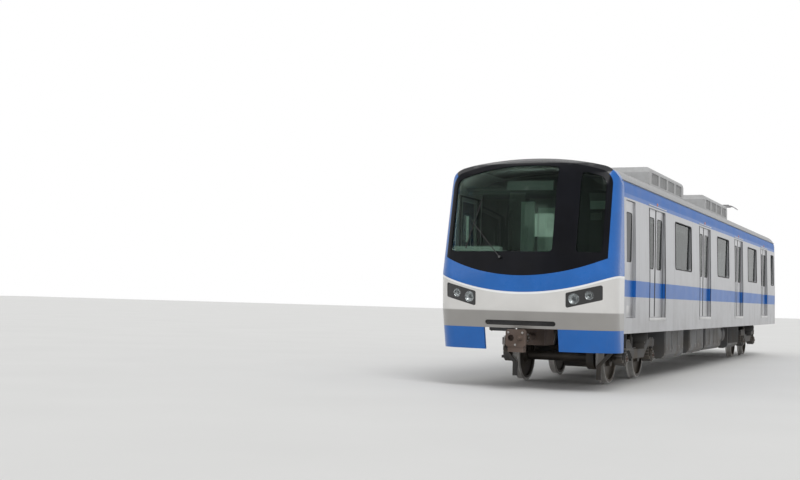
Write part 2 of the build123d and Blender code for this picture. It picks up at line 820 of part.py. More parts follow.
# Grab poles in two lengths, under and over the rail that they hold along each side
pole_radius = 16.0
pole_y = inner_half - bench_depth - pole_radius - 2 * seat
pole_rail_height = floor_top + 1850
pole_offset = doorway_width / 2 + bench_gap / 2
pole_places = [x + way * pole_offset for x in doorways for way in (-1, 1)]
rail_clearance = pole_radius + seat
with BuildPart() as grab_poles:
    for side in (1, -1):
        with Locations([(x, side * pole_y, floor_top + seat) for x in pole_places]):
            Cylinder(pole_radius, pole_rail_height - rail_clearance - floor_top - seat, align=standing)
        with Locations([(x, side * pole_y, pole_rail_height + rail_clearance) for x in pole_places]):
            Cylinder(pole_radius, roof_crown - pole_rail_height, align=standing)
        with Locations(((pole_places[0] + pole_places[-1]) / 2, side * pole_y, pole_rail_height)):
            Cylinder(pole_radius, pole_places[-1] - pole_places[0] + 2 * pole_radius, rotation=along_x)
    with BuildSketch(Plane.YZ.offset(rear_end)) as pole_limit:
        body_outline(pole_limit, roof_depth + seat, sill_bottom)
    extrude(amount=nose_joint - rear_end, mode=Mode.INTERSECT)
save(grab_poles.part, "grab_poles")

# Wheelsets: axle, two wheels with flanges, and journals, as one turned piece
wheel_tread_drop = 2.5
rim_chamfer = 5.0
web_set = 36.0
hub_behind = 25.0
hub_reach = 150.0
journal_step = 20.0
# Columns: distance from the wheel's back face, height over the tread
flange_table = (
    (0, flange_height - 12),
    (7, flange_height - 2),
    (14, flange_height),
    (22, flange_height - 6),
    (flange_width, 6),
    (flange_width + 12, 0),
)
web_inner = wheel_back + web_set
web_outer = web_inner + web_thickness
hub_inner = wheel_back - hub_behind
hub_outer = wheel_back + hub_reach
rim_inner = wheel_radius - rim_depth
rim_outer = wheel_back + wheel_width
rim_edge = wheel_radius - wheel_tread_drop
wheelset_places = [
    (bogie_name, position, centre + offset)
    for bogie_name, centre in (("front", bogie_front), ("rear", bogie_rear))
    for position, offset in (("a", wheel_base / 2), ("b", -wheel_base / 2))
]
for bogie_name, position, x in wheelset_places:
    with BuildPart() as wheelset:
        with BuildSketch(Plane(origin=(x, 0, axle_height), x_dir=(0, 1, 0), z_dir=(1, 0, 0))) as half_profile:
            with BuildLine():
                Polyline(
                    (0, 0),
                    (0, axle_radius),
                    (hub_inner, axle_radius),
                    (hub_inner, hub_radius),
                    (web_inner, hub_radius),
                    (web_inner, rim_inner),
                    (wheel_back, rim_inner),
                    *[(wheel_back + out, wheel_radius + rise) for out, rise in flange_table],
                    (rim_outer - rim_chamfer, rim_edge),
                    (rim_outer, rim_edge - rim_chamfer),
                    (rim_outer, rim_inner),
                    (web_outer, rim_inner),
                    (web_outer, hub_radius),
                    (hub_outer, hub_radius),
                    (hub_outer, axle_radius),
                    (hub_outer + journal_step, journal_radius),
                    (journal_end, journal_radius),
                    (journal_end, 0),
                    close=True,
                )
            make_face()
            web_corners = [
                corner
                for corner in half_profile.vertices()
                if min(abs(corner.X - web_inner), abs(corner.X - web_outer)) < closeness
            ]
            fillet(web_corners, web_fillet)
            mirror(about=Plane.YZ)
        revolve(axis=Axis((x, 0, axle_height), (0, 1, 0)))
    save(wheelset.part, "wheelset_" + bogie_name + "_" + position)

# Bogies: a swan-necked frame with motors, gear cases, tread brakes, dampers and rail guards,
# axleboxes whose wings carry rubber springs, and air springs under the bolster
housing_radius = 125.0
box_width = 170.0
wing_pitch = 170.0
wing_drop = 20.0
wing_depth = 45.0
primary_radius = 70.0
primary_core = 56.0
primary_rings = 4
primary_ring_depth = 26.0
cover_radius = 98.0
cover_depth = 18.0
journal_room = 5.0
neck_half = 430.0
neck_rise = 60.0
neck_room = 60.0
beam_bend = 160.0
beam_tail = 20.0
motor_radius = 230.0
motor_length = 560.0
motor_x = 470.0
motor_y = 150.0
motor_rise = 30.0
bell_radius = 185.0
bell_depth = 30.0
gear_case_width = 130.0
gear_case_radius = 205.0
pinion_case_radius = 130.0
gear_case_y = 505.0
centre_box_width = 400.0
centre_pin_room = 10.0
shoe_depth = 45.0
shoe_width = 78.0
shoe_height = 220.0
shoe_offset = 88.0
brake_unit_width = 120.0
brake_unit_height = 130.0
brake_lap = 5.0
damper_radius = 36.0
damper_rod_radius = 18.0
damper_body = 210.0
damper_gap = 40.0
guard_x = 1515.0
guard_thickness = 40.0
guard_bottom = rail_top + 75
guard_lap = 20.0
stack_radius = 190.0
stack_height = 110.0
bellows_neck = 175.0
cap_radius = 235.0
cap_depth = 22.0
wing_top = axle_height - wing_drop
spring_top = beam_top - beam_depth + beam_end_lift
beam_bottom = beam_top - beam_depth
beam_end = wheel_base / 2 + wing_pitch + primary_radius + beam_tail
neck_under = wheel_base / 2 - wing_pitch - primary_radius - neck_room
neck_outer = neck_under - neck_rise
motor_height = axle_height + motor_rise
neck_top = beam_top - beam_drop
transom_height = neck_top - beam_depth / 2
bolster_bottom = floor_bottom - bolster_depth
shoe_y = wheel_back + shoe_offset
shoe_radius = wheel_radius + running_gap
brake_reach = wheel_base / 2 - shoe_radius - shoe_depth + brake_lap - transom_x
damper_x = spring_radius + damper_gap + damper_radius
beam_inner = frame_y - beam_width / 2
guard_arm = guard_x + guard_thickness - beam_end + guard_lap
guard_y = beam_inner + guard_thickness / 2
rail_y = wheel_back + wheel_width / 2
for bogie_name, centre in (("front", bogie_front), ("rear", bogie_rear)):
    with BuildPart() as bogie_frame:
        for side in (1, -1):
            with BuildSketch(Plane.XZ.offset(-side * frame_y)) as beam:
                with BuildLine():
                    Polyline(
                        (centre - beam_end, beam_top),
                        (centre - neck_outer, beam_top),
                        (centre - neck_half, neck_top),
                        (centre + neck_half, neck_top),
                        (centre + neck_outer, beam_top),
                        (centre + beam_end, beam_top),
                        (centre + beam_end, spring_top),
                        (centre + neck_under, spring_top),
                        (centre + neck_half, beam_bottom - beam_drop),
                        (centre - neck_half, beam_bottom - beam_drop),
                        (centre - neck_under, spring_top),
                        (centre - beam_end, spring_top),
                        close=True,
                    )
                make_face()
                bends = [bend for bend in beam.vertices() if abs(bend.X - centre) < beam_end - closeness]
                fillet(bends, beam_bend)
            extrude(amount=beam_width / 2, both=True)
        with Locations([(centre + way * transom_x, 0, transom_height) for way in (-1, 1)]):
            Cylinder(transom_radius, 2 * frame_y, rotation=along_y)
        with Locations((centre, 0, transom_height)):
            Box(2 * transom_x, centre_box_width, beam_depth)
            Cylinder(centre_pin_radius + centre_pin_room, 2 * beam_depth, mode=Mode.SUBTRACT)
        for way in (-1, 1):
            axle_x = centre + way * wheel_base / 2
            shaft_x = centre + way * motor_x
            with Locations((shaft_x, way * motor_y, motor_height)):
                Cylinder(motor_radius, motor_length, rotation=along_y)
                Cylinder(bell_radius, motor_length + 2 * bell_depth, rotation=along_y)
            with BuildSketch(Plane.XZ.offset(-way * gear_case_y)):
                with Locations((axle_x, axle_height)):
                    Circle(gear_case_radius)
                with Locations((shaft_x, motor_height)):
                    Circle(pinion_case_radius)
                make_hull()
            extrude(amount=gear_case_width / 2, both=True)
            with Locations((axle_x, way * gear_case_y, axle_height)):
                Cylinder(axle_radius + running_gap, 2 * gear_case_width, rotation=along_y, mode=Mode.SUBTRACT)
            for side in (1, -1):
                with BuildSketch(Plane.XZ.offset(-side * shoe_y)):
                    with Locations((axle_x, axle_height)):
                        Circle(shoe_radius + shoe_depth)
                        Circle(shoe_radius, mode=Mode.SUBTRACT)
                    with Locations((axle_x - way * wheel_radius, axle_height)):
                        Rectangle(4 * shoe_depth, shoe_height, mode=Mode.INTERSECT)
                extrude(amount=shoe_width / 2, both=True)
                with Locations((centre + way * (transom_x + brake_reach / 2), side * shoe_y, transom_height)):
                    Box(brake_reach, brake_unit_width, brake_unit_height)
                with Locations((centre + way * damper_x, side * frame_y, neck_top)):
                    Cylinder(damper_radius, damper_body, align=standing)
                    Cylinder(damper_rod_radius, bolster_bottom - neck_top - seat, align=standing)
        if bogie_name == "front":
            for side in (1, -1):
                with Locations((centre + beam_end - guard_lap, side * guard_y, (beam_top + spring_top) / 2)):
                    Box(guard_arm, guard_thickness, 2 * guard_thickness, align=forwards)
                with BuildSketch(Plane.YZ.offset(centre + guard_x)):
                    with BuildLine():
                        Polyline(
                            (side * beam_inner, beam_top - guard_thickness),
                            (side * (beam_inner + guard_thickness), beam_top - guard_thickness),
                            (side * (beam_inner + guard_thickness), axle_height + 2 * guard_thickness),
                            (side * (rail_y + guard_thickness), axle_height - 3 * guard_thickness),
                            (side * (rail_y + guard_thickness), guard_bottom),
                            (side * (rail_y - guard_thickness), guard_bottom),
                            (side * (rail_y - guard_thickness), axle_height - 3 * guard_thickness),
                            (side * beam_inner, axle_height + 3 * guard_thickness),
                            close=True,
                        )
                    make_face()
                extrude(amount=guard_thickness)
    save(bogie_frame.part, "bogie_frame_" + bogie_name)
    with BuildPart() as axleboxes:
        box_places = [
            (centre + way * wheel_base / 2, side * frame_y) for way in (-1, 1) for side in (1, -1)
        ]
        with Locations([(x, y, axle_height) for x, y in box_places]):
            Cylinder(housing_radius, box_width, rotation=along_y)
            Cylinder(cover_radius, box_width + 2 * cover_depth, rotation=along_y)
        with Locations([(x, y, wing_top) for x, y in box_places]):
            Box(2 * (wing_pitch + primary_radius), box_width, wing_depth, align=hanging)
            with GridLocations(2 * wing_pitch, 0, 2, 1):
                Cylinder(primary_core, spring_top - wing_top - seat, align=standing)
        ring_pitch = (spring_top - wing_top - seat - primary_ring_depth) / (primary_rings - 1)
        for number in range(primary_rings):
            with Locations([(x, y, wing_top + ring_pitch * number) for x, y in box_places]):
                with GridLocations(2 * wing_pitch, 0, 2, 1):
                    Cylinder(primary_radius, primary_ring_depth, align=standing)
        with Locations([(centre + way * wheel_base / 2, 0, axle_height) for way in (-1, 1)]):
            Cylinder(
                journal_radius + pin_gap,
                2 * (journal_end + journal_room),
                rotation=along_y,
                mode=Mode.SUBTRACT,
            )
    save(axleboxes.part, "axleboxes_" + bogie_name)
    with BuildPart() as air_springs:
        spring_base = neck_top + seat
        spring_crown = bolster_bottom - seat
        bulge_height = (spring_base + stack_height + spring_crown - cap_depth) / 2
        for side in (1, -1):
            with BuildSketch(Plane.XZ.offset(-side * spring_y)):
                with BuildLine():
                    Polyline(
                        (centre, spring_base),
                        (centre + stack_radius, spring_base),
                        (centre + stack_radius, spring_base + stack_height),
                        (centre + bellows_neck, spring_base + stack_height),
                    )
                    ThreePointArc(
                        (centre + bellows_neck, spring_base + stack_height),
                        (centre + spring_radius, bulge_height),
                        (centre + bellows_neck, spring_crown - cap_depth),
                    )
                    Polyline(
                        (centre + bellows_neck, spring_crown - cap_depth),
                        (centre + cap_radius, spring_crown - cap_depth),
                        (centre + cap_radius, spring_crown),
                        (centre, spring_crown),
                        (centre, spring_base),
                    )
                make_face()
            revolve(axis=Axis((centre, side * spring_y, 0), (0, 0, 1)))
    save(air_springs.part, "air_springs_" + bogie_name)

# Front coupler: draft gear under the cab floor, collared shank, and a head with cone, cup and contact box
coupler_pocket_length = 500.0
coupler_pocket_width = 420.0
coupler_pocket_rear = 8950.0
coupler_pocket_below = 130.0
shank_radius = 62.0
collar_radius = 104.0
collar_length = 90.0
head_plate = 70.0
head_width = 320.0
head_height = 270.0
head_taper = 24.0
head_taper_length = 150.0
head_chamfer = 30.0
contact_box_length = 150.0
contact_box_width = 250.0
contact_box_height = 85.0
contact_box_set = 12.0
cone_length = 60.0
cone_y = 75.0
cone_radius = 45.0
cup_room = 6.0
cup_depth = 80.0
coupler_plane = front_face - cone_length
head_rear = coupler_plane - head_plate
pocket_height = floor_bottom - seat - coupler_height + coupler_pocket_below
pocket_front = coupler_pocket_rear + coupler_pocket_length
with BuildPart() as front_coupler:
    with Locations((coupler_pocket_rear + coupler_pocket_length / 2, 0, floor_bottom - seat)):
        Box(coupler_pocket_length, coupler_pocket_width, pocket_height, align=hanging)
    with Locations((pocket_front - collar_length / 2, 0, coupler_height)):
        Cylinder(shank_radius, head_rear - pocket_front, rotation=along_x, align=standing)
    with Locations(((pocket_front + head_rear) / 2, 0, coupler_height)):
        Cylinder(collar_radius, collar_length, rotation=along_x)
    with BuildSketch(Plane.YZ.offset(head_rear)) as head_view:
        with Locations((0, coupler_height)):
            Rectangle(head_width, head_height)
        chamfer(head_view.vertices(), head_chamfer)
    extrude(amount=head_plate)
    with BuildSketch(Plane(origin=(head_rear, 0, coupler_height), x_dir=(0, 1, 0), z_dir=(-1, 0, 0))):
        Rectangle(head_width - head_chamfer, head_height - head_chamfer)
    extrude(amount=head_taper_length, taper=head_taper)
    with Locations((coupler_plane - contact_box_set, 0, coupler_height - head_height / 2 + contact_box_set)):
        Box(
            contact_box_length,
            contact_box_width,
            contact_box_height + contact_box_set,
            align=(Align.MAX, Align.CENTER, Align.MAX),
        )
    with Locations((coupler_plane, cone_y, coupler_height)):
        Cone(cone_radius, cone_radius / 3, cone_length, rotation=along_x, align=standing)
    with Locations((coupler_plane, -cone_y, coupler_height)):
        Cylinder(cone_radius + cup_room, cup_depth, rotation=along_x, align=hanging, mode=Mode.SUBTRACT)
save(front_coupler.part, "front_coupler")

# Rear drawbar with its bolted flange, stiffened by webs
drawbar_radius = 60.0
drawbar_flange = 35.0
drawbar_pocket_length = 420.0
drawbar_webs = 4
drawbar_web_length = 110.0
drawbar_web_thickness = 16.0
drawbar_lap = 1.0
drawbar_web_turn = 180 / drawbar_bolts
drawbar_start = rear_end + end_wall + seat
with BuildPart() as rear_drawbar:
    with Locations((drawbar_start + drawbar_pocket_length / 2, 0, floor_bottom - seat)):
        Box(drawbar_pocket_length, coupler_pocket_width, pocket_height, align=hanging)
    with Locations((rear_face, 0, coupler_height)):
        Cylinder(drawbar_radius, drawbar_start - rear_face + drawbar_lap, rotation=along_x, align=standing)
        Cylinder(drawbar_flange_radius, drawbar_flange, rotation=along_x, align=standing)
    with BuildSketch(Plane.YZ.offset(rear_face)):
        with Locations((0, coupler_height)):
            with PolarLocations(drawbar_radius + drawbar_web_thickness, drawbar_webs, drawbar_web_turn):
                Rectangle(3 * drawbar_web_thickness, drawbar_web_thickness)
    extrude(amount=drawbar_web_length)
    with BuildSketch(Plane.YZ.offset(rear_face)):
        with Locations((0, coupler_height)):
            with PolarLocations(drawbar_pitch_radius, drawbar_bolts):
                Circle(drawbar_bolt_radius)
    extrude(amount=drawbar_flange, mode=Mode.SUBTRACT)
save(rear_drawbar.part, "rear_drawbar")

# Roof coolers on curbs that follow the roof, with fans in wells and louvred sides
cooler_places = (3600.0, -2400.0)
cooler_corner = 90.0
cooler_rake = 110.0
fan_radius = 290.0
fan_well = 90.0
fan_pitch = 1300.0
fan_hub = 80.0
fan_blades = 7
fan_blade_width = 95.0
fan_blade_thickness = 8.0
fan_blade_pitch = 20.0
fan_blade_root = 65.0
fan_blade_tip = 285.0
louvre_count = 4
louvre_pitch = 780.0
louvre_width = 640.0
louvre_height = 210.0
louvre_depth = 26.0
louvre_slats = 6
louvre_slat = 12.0
louvre_drop = 210.0
louvre_tilt = 25.0
cooler_top = roof_crown + cooler_height
cooler_low = roof_crown - cooler_height
louvre_z = cooler_top - louvre_drop
fan_floor = cooler_top - fan_well
with BuildPart() as roof_coolers:
    for x in cooler_places:
        with BuildSketch(Plane.YZ.offset(x - cooler_length / 2)) as cooler_section:
            with Locations((0, cooler_top)):
                Rectangle(cooler_width, 2 * cooler_height, align=(Align.CENTER, Align.MAX))
            fillet(cooler_section.vertices().group_by(Axis.Y)[-1], cooler_corner)
        extrude(amount=cooler_length)
    with BuildSketch(Plane.XZ):
        for x in cooler_places:
            with BuildLine():
                Polyline(
                    (x - cooler_length / 2, cooler_low),
                    (x - cooler_length / 2, cooler_top - cooler_rake),
                    (x - cooler_length / 2 + cooler_rake, cooler_top),
                    (x + cooler_length / 2 - cooler_rake, cooler_top),
                    (x + cooler_length / 2, cooler_top - cooler_rake),
                    (x + cooler_length / 2, cooler_low),
                    close=True,
                )
            make_face()
    extrude(amount=cooler_width, both=True, mode=Mode.INTERSECT)
    for x in cooler_places:
        for side in (1, -1):
            with Locations((x, side * cooler_width / 2, louvre_z)):
                with GridLocations(louvre_pitch, 0, louvre_count, 1):
                    Box(louvre_width, 2 * louvre_depth, louvre_height, mode=Mode.SUBTRACT)
                with GridLocations(louvre_pitch, 0, louvre_count, 1):
                    with Locations(
                        [
                            (0, -side * louvre_depth, louvre_height * (row / (louvre_slats + 1) - 0.5))
                            for row in range(1, louvre_slats + 1)
                        ]
                    ):
                        Box(louvre_width, louvre_depth, louvre_slat, rotation=(side * louvre_tilt, 0, 0))
        with Locations((x, 0, cooler_top)):
            with GridLocations(fan_pitch, 0, 2, 1):
                Cylinder(fan_radius, fan_well, align=hanging, mode=Mode.SUBTRACT)
        for fan_x in (x - fan_pitch / 2, x + fan_pitch / 2):
            with Locations((fan_x, 0, fan_floor)):
                Cylinder(fan_hub, fan_well - 2 * fan_blade_thickness, align=standing)
            with Locations((fan_x, 0, fan_floor + fan_well / 2)):
                with PolarLocations((fan_blade_root + fan_blade_tip) / 2, fan_blades):
                    Box(
                        fan_blade_tip - fan_blade_root,
                        fan_blade_width,
                        fan_blade_thickness,
                        rotation=(fan_blade_pitch, 0, 0),
                    )
    with BuildSketch(Plane.YZ.offset(rear_end)) as roof_line:
        body_outline(roof_line, -seat, sill_bottom)
    extrude(amount=nose_joint - rear_end, mode=Mode.SUBTRACT)
save(roof_coolers.part, "roof_coolers")

# Underfloor equipment cases, hung from the cross bearers, with lids or cooling fins on their open sides
case_chamfer = 70.0
case_border = 45.0
lid_thickness = 12.0
lid_gap = 24.0
fin_thickness = 10.0
fin_depth = 34.0
fin_pitch = 60.0
case_top = floor_bottom - bearer_depth - seat
# Columns: middle, length, width, depth, side offset, lids a side (0 has fins)
case_table = (
    (3700, 1900, 2300, 600, 0, 3),
    (1500, 1700, 1150, 560, 620, 2),
    (1500, 1700, 1050, 520, -660, 0),
    (-900, 2200, 2300, 560, 0, 4),
    (-4300, 1700, 2200, 600, 0, 0),
)
with BuildPart() as underfloor_cases:
    for middle, length, width, depth, offset, lids in case_table:
        with BuildSketch(Plane.YZ.offset(middle - length / 2)) as case_section:
            with Locations((offset, case_top)):
                Rectangle(width, depth, align=(Align.CENTER, Align.MAX))
            chamfer(case_section.vertices().group_by(Axis.Y)[0], case_chamfer)
        extrude(amount=length)
        open_sides = [side for side in (1, -1) if side * offset >= 0]
        lid_height = depth - case_chamfer - 2 * case_border
        for side in open_sides:
            with Locations((middle, offset + side * width / 2, case_top - case_border)):
                if lids:
                    lid_pitch = (length - 2 * case_border + lid_gap) / lids
                    with GridLocations(lid_pitch, 0, lids, 1):
                        Box(lid_pitch - lid_gap, 2 * lid_thickness, lid_height, align=hanging)
                else:
                    with GridLocations(fin_pitch, 0, int((length - 2 * case_border) / fin_pitch), 1):
                        Box(fin_thickness, 2 * fin_depth, lid_height, align=hanging)
save(underfloor_cases.part, "underfloor_cases")

# Air tanks, two across the car, held by saddles under one cross bearer
tank_radius = 185.0
tank_length = 2200.0
tank_pitch = 460.0
tank_dome = 110.0
tank_drop = 60.0
saddle_pitch = 1300.0
saddle_thickness = 50.0
tank_x = (bogie_front + bogie_rear) / 2 - 2 * bearer_pitch
tank_height = case_top - tank_drop - tank_radius
with BuildPart() as air_tanks:
    with Locations((tank_x, 0, tank_height)):
        with GridLocations(tank_pitch, 0, 2, 1):
            Cylinder(tank_radius, tank_length, rotation=along_y)
    fillet(air_tanks.edges().filter_by(GeomType.CIRCLE), tank_dome)
    with Locations((tank_x, 0, case_top)):
        with GridLocations(0, saddle_pitch, 1, 2):
            Box(tank_pitch, saddle_thickness, tank_drop + tank_radius, align=hanging)
save(air_tanks.part, "air_tanks")

# Pantograph: base on ribbed insulators, tapered lower arm, braced upper arm, and head with horns
pan_base_height = roof_crown + 160
pan_pivot_rise = 60.0
pan_arm = 1500.0
pan_fold = 5.0
pan_pin_radius = 20.0
base_middle = 350.0
base_length = 1500.0
base_width = 1000.0
bar = 60.0
insulator_radius = 36.0
insulator_length = 260.0
shed_radius = 58.0
shed_depth = 12.0
shed_pitch = 32.0
shed_count = 3
cheek_y = 110.0
cheek_length = 110.0
cheek_thickness = 30.0
cheek_over = 45.0
raising_radius = 38.0
raising_length = 420.0
raising_y = 230.0
raising_drop = 10.0
pan_pivot_height = pan_base_height + pan_pivot_rise
fold_x = math.cos(math.radians(pan_fold))
fold_z = math.sin(math.radians(pan_fold))
knee_x = pan_x + pan_arm * fold_x
knee_height = pan_pivot_height + pan_arm * fold_z
head_axis_height = pan_pivot_height + 2 * pan_arm * fold_z
with BuildPart() as pantograph_base:
    with Locations((pan_x + base_middle, 0, pan_base_height)):
        Box(base_length, base_width, bar, align=hanging)
        Box(base_length - 2 * bar, base_width - 2 * bar, bar, align=hanging, mode=Mode.SUBTRACT)
        Box(bar, base_width, bar, align=hanging)
    with Locations((pan_x + base_middle, 0, pan_base_height - bar)):
        with GridLocations(base_length - 2 * shed_radius, base_width - 2 * shed_radius, 2, 2):
            Cylinder(insulator_radius, insulator_length, align=hanging)
            with Locations([(0, 0, -shed_pitch * (number + 0.5)) for number in range(shed_count)]):
                Cylinder(shed_radius, shed_depth)
    with Locations([(pan_x, side * cheek_y, pan_base_height - bar) for side in (1, -1)]):
        Box(cheek_length, cheek_thickness, bar + pan_pivot_rise + cheek_over, align=standing)
    with Locations((pan_x, 0, pan_base_height)):
        Box(bar, 2 * cheek_y + cheek_thickness, bar, align=hanging)
        Box(base_length - 2 * base_middle, bar, bar, align=hanging)
    with Locations((pan_x + base_middle, 0, pan_base_height + raising_radius - raising_drop)):
        with GridLocations(0, 2 * raising_y, 1, 2):
            Cylinder(raising_radius, raising_length, rotation=along_x)
    with Locations((pan_x, 0, pan_pivot_height)):
        Cylinder(pan_pin_radius + pin_gap, 4 * cheek_y, rotation=along_y, mode=Mode.SUBTRACT)
    with BuildSketch(Plane.YZ.offset(rear_end)) as roof_line:
        body_outline(roof_line, -seat, sill_bottom)
    extrude(amount=nose_joint - rear_end, mode=Mode.SUBTRACT)
save(pantograph_base.part, "pantograph_base")

arm_root_radius = 48.0
arm_end_radius = 34.0
root_drum_radius = 50.0
root_drum_length = 180.0
knee_drum_radius = 45.0
knee_drum_length = 110.0
arm_taper = math.degrees(math.atan((arm_root_radius - arm_end_radius) / pan_arm))
lower_plane = Plane(origin=(pan_x, 0, pan_pivot_height), x_dir=(0, 1, 0), z_dir=(fold_x, 0, fold_z))
with BuildPart() as pantograph_lower:
    with BuildSketch(lower_plane):
        Circle(arm_root_radius)
    extrude(amount=pan_arm, taper=arm_taper)
    with Locations((pan_x, 0, pan_pivot_height)):
        Cylinder(root_drum_radius, root_drum_length, rotation=along_y)
        Cylinder(pan_pin_radius, 2 * cheek_y + 2 * cheek_thickness, rotation=along_y)
    with Locations((knee_x, 0, knee_height)):
        Cylinder(knee_drum_radius, knee_drum_length, rotation=along_y)
        Cylinder(pan_pin_radius + pin_gap, 2 * knee_drum_length, rotation=along_y, mode=Mode.SUBTRACT)
save(pantograph_lower.part, "pantograph_lower")

upper_tube = 17.0
upper_root = 85.0
upper_end = 330.0
upper_eye_radius = 32.0
upper_eye_length = 40.0
brace_tube = 11.0
brace_shares = (0.35, 0.7)
head_pin_reach = 80.0
upper_spread = upper_end - upper_root
upper_length = math.sqrt(pan_arm**2 + upper_spread**2)
with BuildPart() as pantograph_upper:
    for side in (1, -1):
        tube_way = Vector(-pan_arm * fold_x, side * upper_spread, pan_arm * fold_z)
        with BuildSketch(Plane(origin=(knee_x, side * upper_root, knee_height), z_dir=tube_way)):
            Circle(upper_tube)
        extrude(amount=upper_length)
    for share in brace_shares:
        with Locations((knee_x - share * pan_arm * fold_x, 0, knee_height + share * pan_arm * fold_z)):
            Cylinder(brace_tube, 2 * (upper_root + share * upper_spread), rotation=along_y)
    with Locations([(knee_x, side * upper_root, knee_height) for side in (1, -1)]):
        Cylinder(upper_eye_radius, upper_eye_length, rotation=along_y)
    with Locations((knee_x, 0, knee_height)):
        Cylinder(pan_pin_radius, 2 * upper_root, rotation=along_y)
    with Locations((pan_x, 0, head_axis_height)):
        Cylinder(pan_pin_radius, 2 * (upper_end + head_pin_reach), rotation=along_y)
save(pantograph_upper.part, "pantograph_upper")

strip_length = 1050.0
strip_spacing = 360.0
strip_width = 60.0
strip_depth = 55.0
head_rise = 130.0
head_side = 55.0
head_eye_radius = 36.0
head_bar = 30.0
head_post = 40.0
head_lap = 10.0
horn_radius = 250.0
horn_turn = 52.0
horn_tube = 12.0
head_half = upper_end + head_side
head_top = head_axis_height + head_rise
strip_bottom = head_top - strip_depth
horn_height = head_top - strip_depth / 2
with BuildPart() as pantograph_head:
    with Locations([(pan_x, side * head_half, head_axis_height) for side in (1, -1)]):
        Cylinder(head_eye_radius, head_bar, rotation=along_y)
        Box(head_post, head_bar, strip_bottom - head_axis_height, align=standing)
    with Locations([(pan_x, side * head_half, strip_bottom + head_lap) for side in (1, -1)]):
        Box(strip_spacing, head_bar, head_bar, align=hanging)
    for x in (pan_x - strip_spacing / 2, pan_x + strip_spacing / 2):
        with Locations((x, 0, head_top)):
            Box(strip_width, strip_length, strip_depth, align=hanging)
        for side in (1, -1):
            with BuildSketch(Plane.XZ.offset(-side * (strip_length / 2 - seam))):
                with Locations((x, horn_height)):
                    Circle(horn_tube)
            revolve(
                axis=Axis((x, side * strip_length / 2, horn_height - horn_radius), (-side, 0, 0)),
                revolution_arc=horn_turn,
            )
    with Locations((pan_x, 0, head_axis_height)):
        Cylinder(pan_pin_radius + pin_gap, 3 * upper_end, rotation=along_y, mode=Mode.SUBTRACT)
save(pantograph_head.part, "pantograph_head")
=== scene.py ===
import json
import logging
import math
from dataclasses import dataclass, replace
from enum import Enum
from functools import cache
from typing import Iterable, Sequence

import bmesh
import bpy
from mathutils import Matrix, Vector
from mathutils.bvhtree import BVHTree

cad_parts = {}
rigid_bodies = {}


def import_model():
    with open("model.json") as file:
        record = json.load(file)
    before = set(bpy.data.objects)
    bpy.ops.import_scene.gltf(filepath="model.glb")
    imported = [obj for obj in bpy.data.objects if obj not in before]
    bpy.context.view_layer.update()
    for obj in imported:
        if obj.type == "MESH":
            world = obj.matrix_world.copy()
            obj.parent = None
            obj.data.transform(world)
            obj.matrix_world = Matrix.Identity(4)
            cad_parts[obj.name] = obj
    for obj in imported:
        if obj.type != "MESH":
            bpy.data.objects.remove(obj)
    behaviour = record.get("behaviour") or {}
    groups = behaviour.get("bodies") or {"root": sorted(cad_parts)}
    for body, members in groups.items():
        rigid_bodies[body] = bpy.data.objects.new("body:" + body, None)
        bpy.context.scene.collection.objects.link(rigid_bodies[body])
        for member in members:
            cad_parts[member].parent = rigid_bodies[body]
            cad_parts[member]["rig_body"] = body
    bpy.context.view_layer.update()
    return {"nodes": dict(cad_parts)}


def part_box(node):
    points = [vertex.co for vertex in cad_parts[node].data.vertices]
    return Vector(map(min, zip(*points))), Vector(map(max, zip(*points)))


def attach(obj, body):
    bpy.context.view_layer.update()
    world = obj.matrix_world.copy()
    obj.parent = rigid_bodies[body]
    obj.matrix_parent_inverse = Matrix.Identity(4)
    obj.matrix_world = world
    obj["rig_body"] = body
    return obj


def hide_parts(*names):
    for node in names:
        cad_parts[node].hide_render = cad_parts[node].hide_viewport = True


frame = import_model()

# The looks of a metro cab car: finishes, glazing, trim, cab, saloon, roof and running gear.
# Sizes are in metres, in the car's own frame: +X to the cab end, +Y left, +Z up, with height 0
# at the wheels' flange tips.

log = logging.getLogger("metro_car")

Pair = tuple[float, float]
Trio = tuple[float, float, float]
Pairs = tuple[Pair, ...]
Trios = tuple[Trio, ...]
Rows = tuple[tuple[float, ...], ...]
Colour = Trio
Triple = Sequence[float]
Socket = bpy.types.NodeSocket
Value = float | Socket

RAIL = 0.028
WAIST = RAIL + 1.800
EAVES = RAIL + 3.490
ROOF_CROWN = RAIL + 3.700
ROOF_ARC = 5.008
HALF_WIDTH = 1.475
LEAN = 0.040
FLOOR = RAIL + 1.150
FLOOR_BOTTOM = FLOOR - 0.150
CEILING_DEPTH = 0.100
DOORWAYS = tuple(-7.605 + 4.820 * number for number in range(4))
WINDOWS = tuple(x + 2.410 for x in DOORWAYS[:3])
BOGIES = {"front": 6.525, "rear": -7.275}
WHEEL_BASE = 2.100
AXLE_HEIGHT = RAIL + 0.430


class Hand(Enum):
    """The two sides of the car, as signs of Y."""

    LEFT = 1
    RIGHT = -1


class Slot(str, Enum):
    """The record's slots, passed along with the added pieces but not read."""

    ROOF = "roof_grey"
    BELLOWS = "bellows"
    SIDE_GLASS = "glass_side"
    MASK = "mask_black"
    BLUE = "blue"
    PANEL = "panel_white"
    FRONT_GLASS = "glass_front"
    LAMP = "lamp_black"
    LENS = "lens"
    SIGN = "sign"
    LINING = "cab_lining"
    DESK = "desk_grey"
    SEAT = "seat_cloth"
    BENCH = "bench_blue"
    STEEL = "steel"
    COUPLER = "coupler_iron"
    CASE = "case_grey"
    PAN_PAINT = "pan_red"
    PAN_STEEL = "pan_steel"
    BOGIE = "bogie_grey"
    WHEEL = "wheel_steel"


def side_y(height: float) -> float:
    """Half the body's width at a height: upright to the waist, then leaning in."""
    return HALF_WIDTH - LEAN * max(0.0, height - WAIST) / (EAVES - WAIST)


